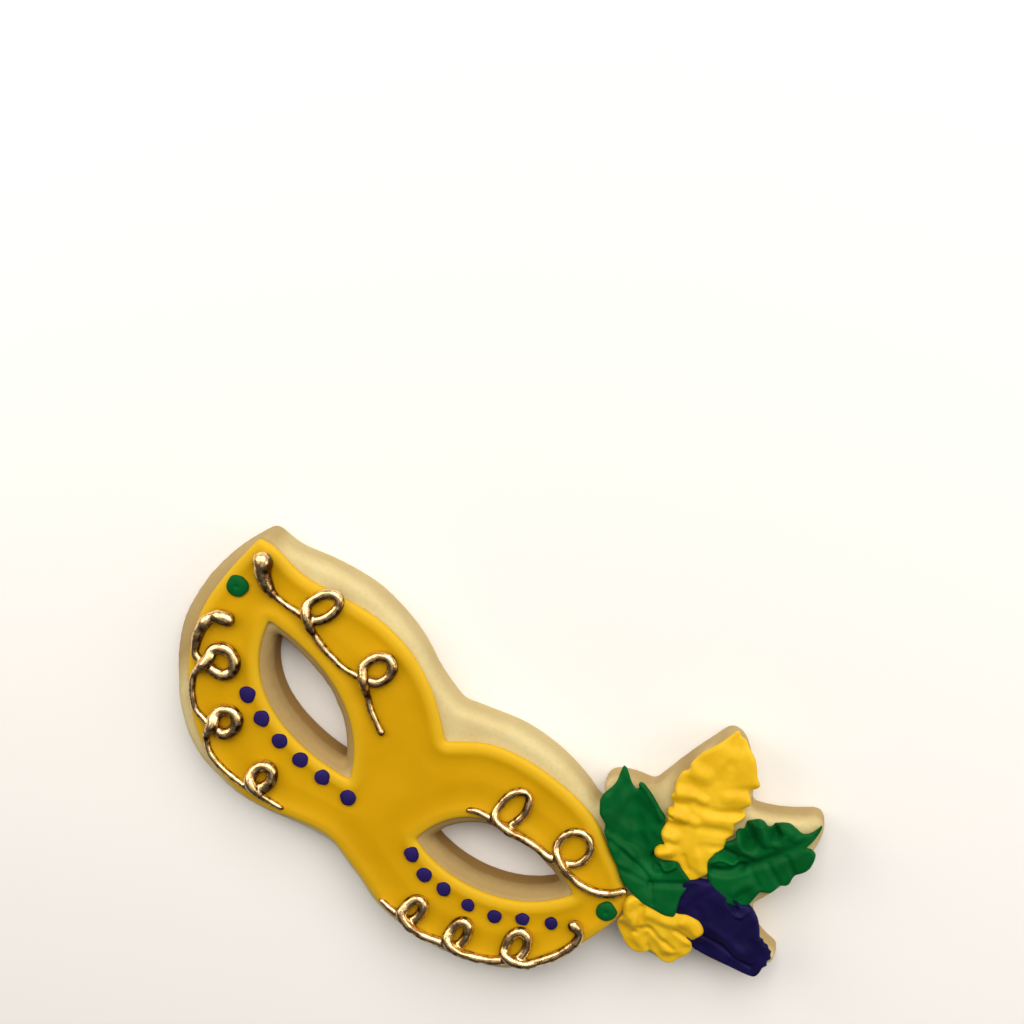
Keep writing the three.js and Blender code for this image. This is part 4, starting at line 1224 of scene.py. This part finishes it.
YELLOW_LOW = LeafPlan(
    outline=(
        (44.5, 9.4), (44.2, 8.7), (44.3, 7.5), (45.1, 6.2), (46, 5.3), (45.8, 4.3), (46.1, 3.1),
        (47.2, 2.3), (48.5, 1.7), (50, 0.9), (51.5, 0.7), (52.8, 1.1), (53.6, 2.1), (54, 3),
        (54.9, 3.2), (56.3, 2.8), (57.5, 3), (58.4, 3.6), (58.7, 5), (59.2, 6.6), (59.4, 8),
        (59, 9), (58.2, 9.7), (58.2, 11), (58.6, 12.6), (58.1, 13.3), (57.3, 13.7), (56.3, 14),
        (55.3, 13.9), (53.8, 13.4), (52.8, 12.6), (50.6, 12), (46.3, 10.8)),
    form=(
        (44.9, 8.2, 2.5), (46.1, 6.2, 2.2), (48.3, 8, 2.2), (52.5, 10.6, 2.4), (54.9, 13, 2.5),
        (57.6, 12.6, 2.5), (57.6, 10, 2), (52.9, 7.4, 2), (47.7, 2.6, 0.8), (48.6, 6, 1.9),
        (51.8, 3.6, 1.3), (51.5, 1.2, 0.6), (53.9, 3.3, 0.8), (57.2, 3.4, 0.6), (58.3, 4.6, 0.8),
        (59.2, 8.2, 1.2), (56, 6, 1.6)),
    strokes=(
        ridge(((44.9, 8.3), (46.1, 6.6), (48.3, 5.8)), 1.6, 0.6),
        groove(((47.3, 9.1), (48.6, 7.3), (49.4, 5.4)), 0.9, 0.5),
        ridge(((49, 8.8), (52, 9.8), (54.1, 11.4)), 1.5, 0.4),
        groove(((49.7, 4.2), (50.7, 6.6), (53.4, 6.3), (56.6, 6.3)), 0.9, 0.5, end=0.7),
        groove(((51.2, 6.2), (52, 4.3), (53.8, 2.9)), 0.9, 0.35),
        ridge(((54.6, 12.4), (56.2, 12.2), (57.8, 11.6)), 1.8, 0.4),
        groove(((54.6, 9.6), (56.3, 9.7), (58.2, 9.9)), 0.8, 0.45),
    ))


# ------------------------------------------------------------------ studio
@dataclass
class Studio:
    """A pale table, soft light and the camera of the portrait, which the drawing frame places."""

    drawing: Drawing
    look_at: tuple[float, float, float] = (-15.64, 49.25, 8.5)
    camera_at: tuple[float, float, float] = (-16.42, 135.52, 305.63)
    roll: float = -140.389
    lens: float = 63.28
    sensor: float = 36.0
    table: float = 6.0
    table_tone: str = "#F8F7F5"
    air_tone: str = "#E8E6E4"
    air_strength: float = 0.06

    def camera(self) -> None:
        """Sets the camera at the portrait's angle and frame."""
        data = bpy.data.cameras.new("portrait")
        data.lens = self.lens
        data.sensor_width = self.sensor
        data.clip_start = 0.01
        eye = bpy.data.objects.new("portrait", data)
        bpy.context.scene.collection.objects.link(eye)
        way = Vector(self.look_at) - Vector(self.camera_at)
        turn = way.to_track_quat("-Z", "Y").to_matrix().to_4x4()
        roll = Matrix.Rotation(math.radians(self.roll), 4, "Z")
        place = Vector(self.camera_at) * MM + self.drawing.shift
        eye.matrix_world = Matrix.Translation(place) @ turn @ roll
        bpy.context.scene.camera = eye

    def light(self, name: str, place: tuple[float, float, float], size: float, power: float,
              tone: str) -> None:
        """Hangs one soft area light that faces the cookie.

        Args:
            name: the light's name.
            place: where it hangs, in metres.
            size: its side, in metres.
            power: its power in watts.
            tone: its colour.
        """
        data = bpy.data.lights.new(name, "AREA")
        data.size = size
        data.energy = power
        data.color = colour(tone)[:3]
        lamp = bpy.data.objects.new(name, data)
        bpy.context.scene.collection.objects.link(lamp)
        way = -Vector(place)
        turn = way.to_track_quat("-Z", "Y").to_matrix().to_4x4()
        lamp.matrix_world = Matrix.Translation(place) @ turn

    def build(self) -> None:
        """Lays the table, lights it and sets the camera."""
        bpy.ops.object.select_all(action="DESELECT")
        bpy.ops.mesh.primitive_plane_add(size=self.table)
        floor = bpy.context.active_object
        floor.name = "pale_table"
        g = Graph("pale_matte_table")
        floor.data.materials.append(g.finish(g.add("ShaderNodeBsdfPrincipled", {
            "Base Color": colour(self.table_tone), "Roughness": 0.9, "Specular IOR Level": 0.1})))
        self.light("window", (-0.22, 0.61, 0.65), 0.8, 8.1, "#FFFCF8")
        self.light("lamp_left", (-0.34, -0.02, 0.25), 0.28, 0.75, "#FFF6EA")
        self.light("lamp_right", (0.24, 0.27, 0.25), 0.26, 0.55, "#FFF6EA")
        self.light("ceiling", (0.05, 0.0, 0.8), 0.6, 0.5, "#FFFDF8")
        world = bpy.data.worlds.new("studio")
        world.use_nodes = True
        air = world.node_tree.nodes["Background"].inputs
        air["Color"].default_value = colour(self.air_tone)
        air["Strength"].default_value = self.air_strength
        bpy.context.scene.world = world
        bpy.context.scene.view_settings.view_transform = "Standard"
        self.camera()


# ------------------------------------------------------------------ the cookie
# Each dot: its centre and its radius.
VIOLET_DOTS: tuple[tuple[float, float, float], ...] = (
    (-31, -9.1, 1.6), (-26.2, -10.9, 1.55), (-21.1, -12.1, 1.5), (-16, -12.3, 1.5),
    (-10.9, -12.2, 1.5), (-5, -12, 1.5), (10.5, -12.4, 1.45), (14.7, -13.9, 1.4),
    (19, -13.6, 1.4), (24.3, -12.9, 1.25), (29.2, -11.3, 1.3), (33.3, -8.1, 1.25),
    (37.6, -5.1, 1.2),
)
GREEN_DOTS: tuple[tuple[float, float, float], ...] = ((-44.6, 5.8, 2.0), (43.4, 3.6, 1.85))


def scrolls(drawing: Drawing) -> list[Scroll]:
    """The four gold lines, on the routes that their solids take."""
    return [
        Scroll(
            drawing, "gold_line_brow_left", start=1.75, end=0.75, radius=0.96, thin=0.65, blob=8.5,
            seed=1.0, route=(
                (-44.3, 14.1), (-43.5, 12.7), (-42.3, 11.1, 0.95), (-40.6, 9.9, 0.8), (-38.4, 9.2),
                (-34.8, 9.3), Loop(-30.4, 13.5, 2.0, 3.4, -18), (-28.1, 8.2, 0.75), (-22.4, 7.1),
                (-19.3, 7.2), Loop(-15.8, 11.2, 2.2, 2.9, -14), (-12.3, 4.4), (-7.5, 2))),
        Scroll(
            drawing, "gold_line_cheek_left", start=1.45, end=0.55, radius=1.13, thin=0.57,
            seed=2.0, route=(
                (-41.2, 0.2, 1.35), (-42.8, -0.2, 1.4), (-44.4, -1.2, 0.85), (-45, -3.2, 1.1),
                (-44.7, -5.6, 1), (-43.9, -7.9, 0.8), (-42.5, -9.6, 0.65),
                Loop(-38.3, -7.1, 2.6, 2.4, -20), (-40.6, -13.1), (-37.6, -17.2), (-34.6, -18.3),
                Loop(-30.9, -15.8, 2.1, 2.4, -5), (-31.9, -20.6), (-28.6, -23.1), (-22.3, -23.5),
                Loop(-19.4, -19.6, 1.8, 2.4, 0), (-16.6, -22.5), (-12.5, -22))),
        Scroll(
            drawing, "gold_line_brow_right", start=0.55, end=0.8, radius=0.78, thin=1.05,
            seed=3.0, brushed=LIT_FROM_BROW, route=(
                (12.5, 1.2), (14.5, 2.6), Loop(18.6, 7.3, 2.2, 4.0, 0), (21.9, 4), (26.1, 4.6),
                (29.2, 4.7), Loop(31.4, 9.1, 2.8, 3.3, 0), (34.6, 4.5), (38.8, 5), (41.6, 6.8),
                (43.4, 9.4))),
        Scroll(
            drawing, "gold_line_cheek_right", start=0.55, end=1.2, radius=0.95, thin=0.92,
            seed=4.0, brushed=LIT_FROM_BROW, route=(
                (11.5, -23.3), (13.9, -23.4), Loop(17.4, -20.5, 1.5, 2.5, 0), (20.7, -23.4),
                (23.6, -22.6), Loop(26.4, -18.3, 1.5, 2.7, 8), (29.9, -20.6), (33.6, -18.6),
                Loop(35.7, -12.7, 1.8, 3.0, 14), (39.1, -14.2), (40.8, -11.8), (42.2, -9),
                (43, -5.9), (42.9, -3.5), (41.6, -2.4), (39.9, -2.4))),
    ]


def leaves(drawing: Drawing) -> list[tuple[PipedLeaf, Hue, str, str]]:
    """The five leaves, each with its icing, its solid's node and its slot."""
    rows = (
        ("green_leaf_left", GREEN_LEFT, Hue.GREEN, "leaf_green_left", "green_icing"),
        ("yellow_leaf_top", YELLOW_TOP, Hue.LEAF_YELLOW, "leaf_yellow_top", "leaf_icing"),
        ("green_leaf_right", GREEN_RIGHT, Hue.GREEN, "leaf_green_right", "green_icing"),
        ("violet_leaf", VIOLET_LEAF, Hue.VIOLET, "leaf_violet", "violet_icing"),
        ("yellow_leaf_low", YELLOW_LOW, Hue.LEAF_YELLOW, "leaf_yellow_low", "leaf_icing"),
    )
    return [(PipedLeaf(drawing, name, plan, seed=3.0 * i), hue, node, slot)
            for i, (name, plan, hue, node, slot) in enumerate(rows)]


def dress(piece: bpy.types.Object, material: bpy.types.Material, slot: str, *nodes: str) -> None:
    """Gives a finished piece its material and its place in the part.

    Args:
        piece: the finished piece.
        material: its finish.
        slot: not used.
        *nodes: the solids that the piece stands for, if any.
    """
    piece.data.materials.clear()
    piece.data.materials.append(material)
    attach(piece, "root")
    if nodes:
        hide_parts(*nodes)
    LOG.info("%s: %d faces", piece.name, len(piece.data.polygons))


def main() -> None:
    """Builds the cookie piece by piece, then the studio."""
    logging.basicConfig(level=logging.INFO, format="%(name)s %(message)s")
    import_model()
    drawing = Drawing()
    icings = {hue: hue.value.material() for hue in Hue}
    gold = GoldPaint().material()
    dress(Biscuit(drawing).build(), BakedDough().material(), "biscuit", "cookie")
    dress(FloodIcing(drawing).build(), icings[Hue.FLOOD_YELLOW], "yellow_icing", "icing")
    violet = Dots(drawing, "violet_dots", VIOLET_DOTS, height=0.75, nib=0.0, seed=2.0)
    dress(violet.build(), icings[Hue.VIOLET_DROP], "violet_icing")
    green = Dots(drawing, "green_dots", GREEN_DOTS, height=0.85, nib=-0.3, seed=6.0)
    dress(green.build(), icings[Hue.GREEN], "green_icing")
    for line in scrolls(drawing):
        node = line.name.replace("gold_line", "gold_scroll")
        dress(line.build(), gold, "gold_paint", node)
    for leaf, hue, node, slot in leaves(drawing):
        dress(leaf.build(), icings[hue], slot, node)
    Studio(drawing).build()


if __name__ == "__main__":
    main()
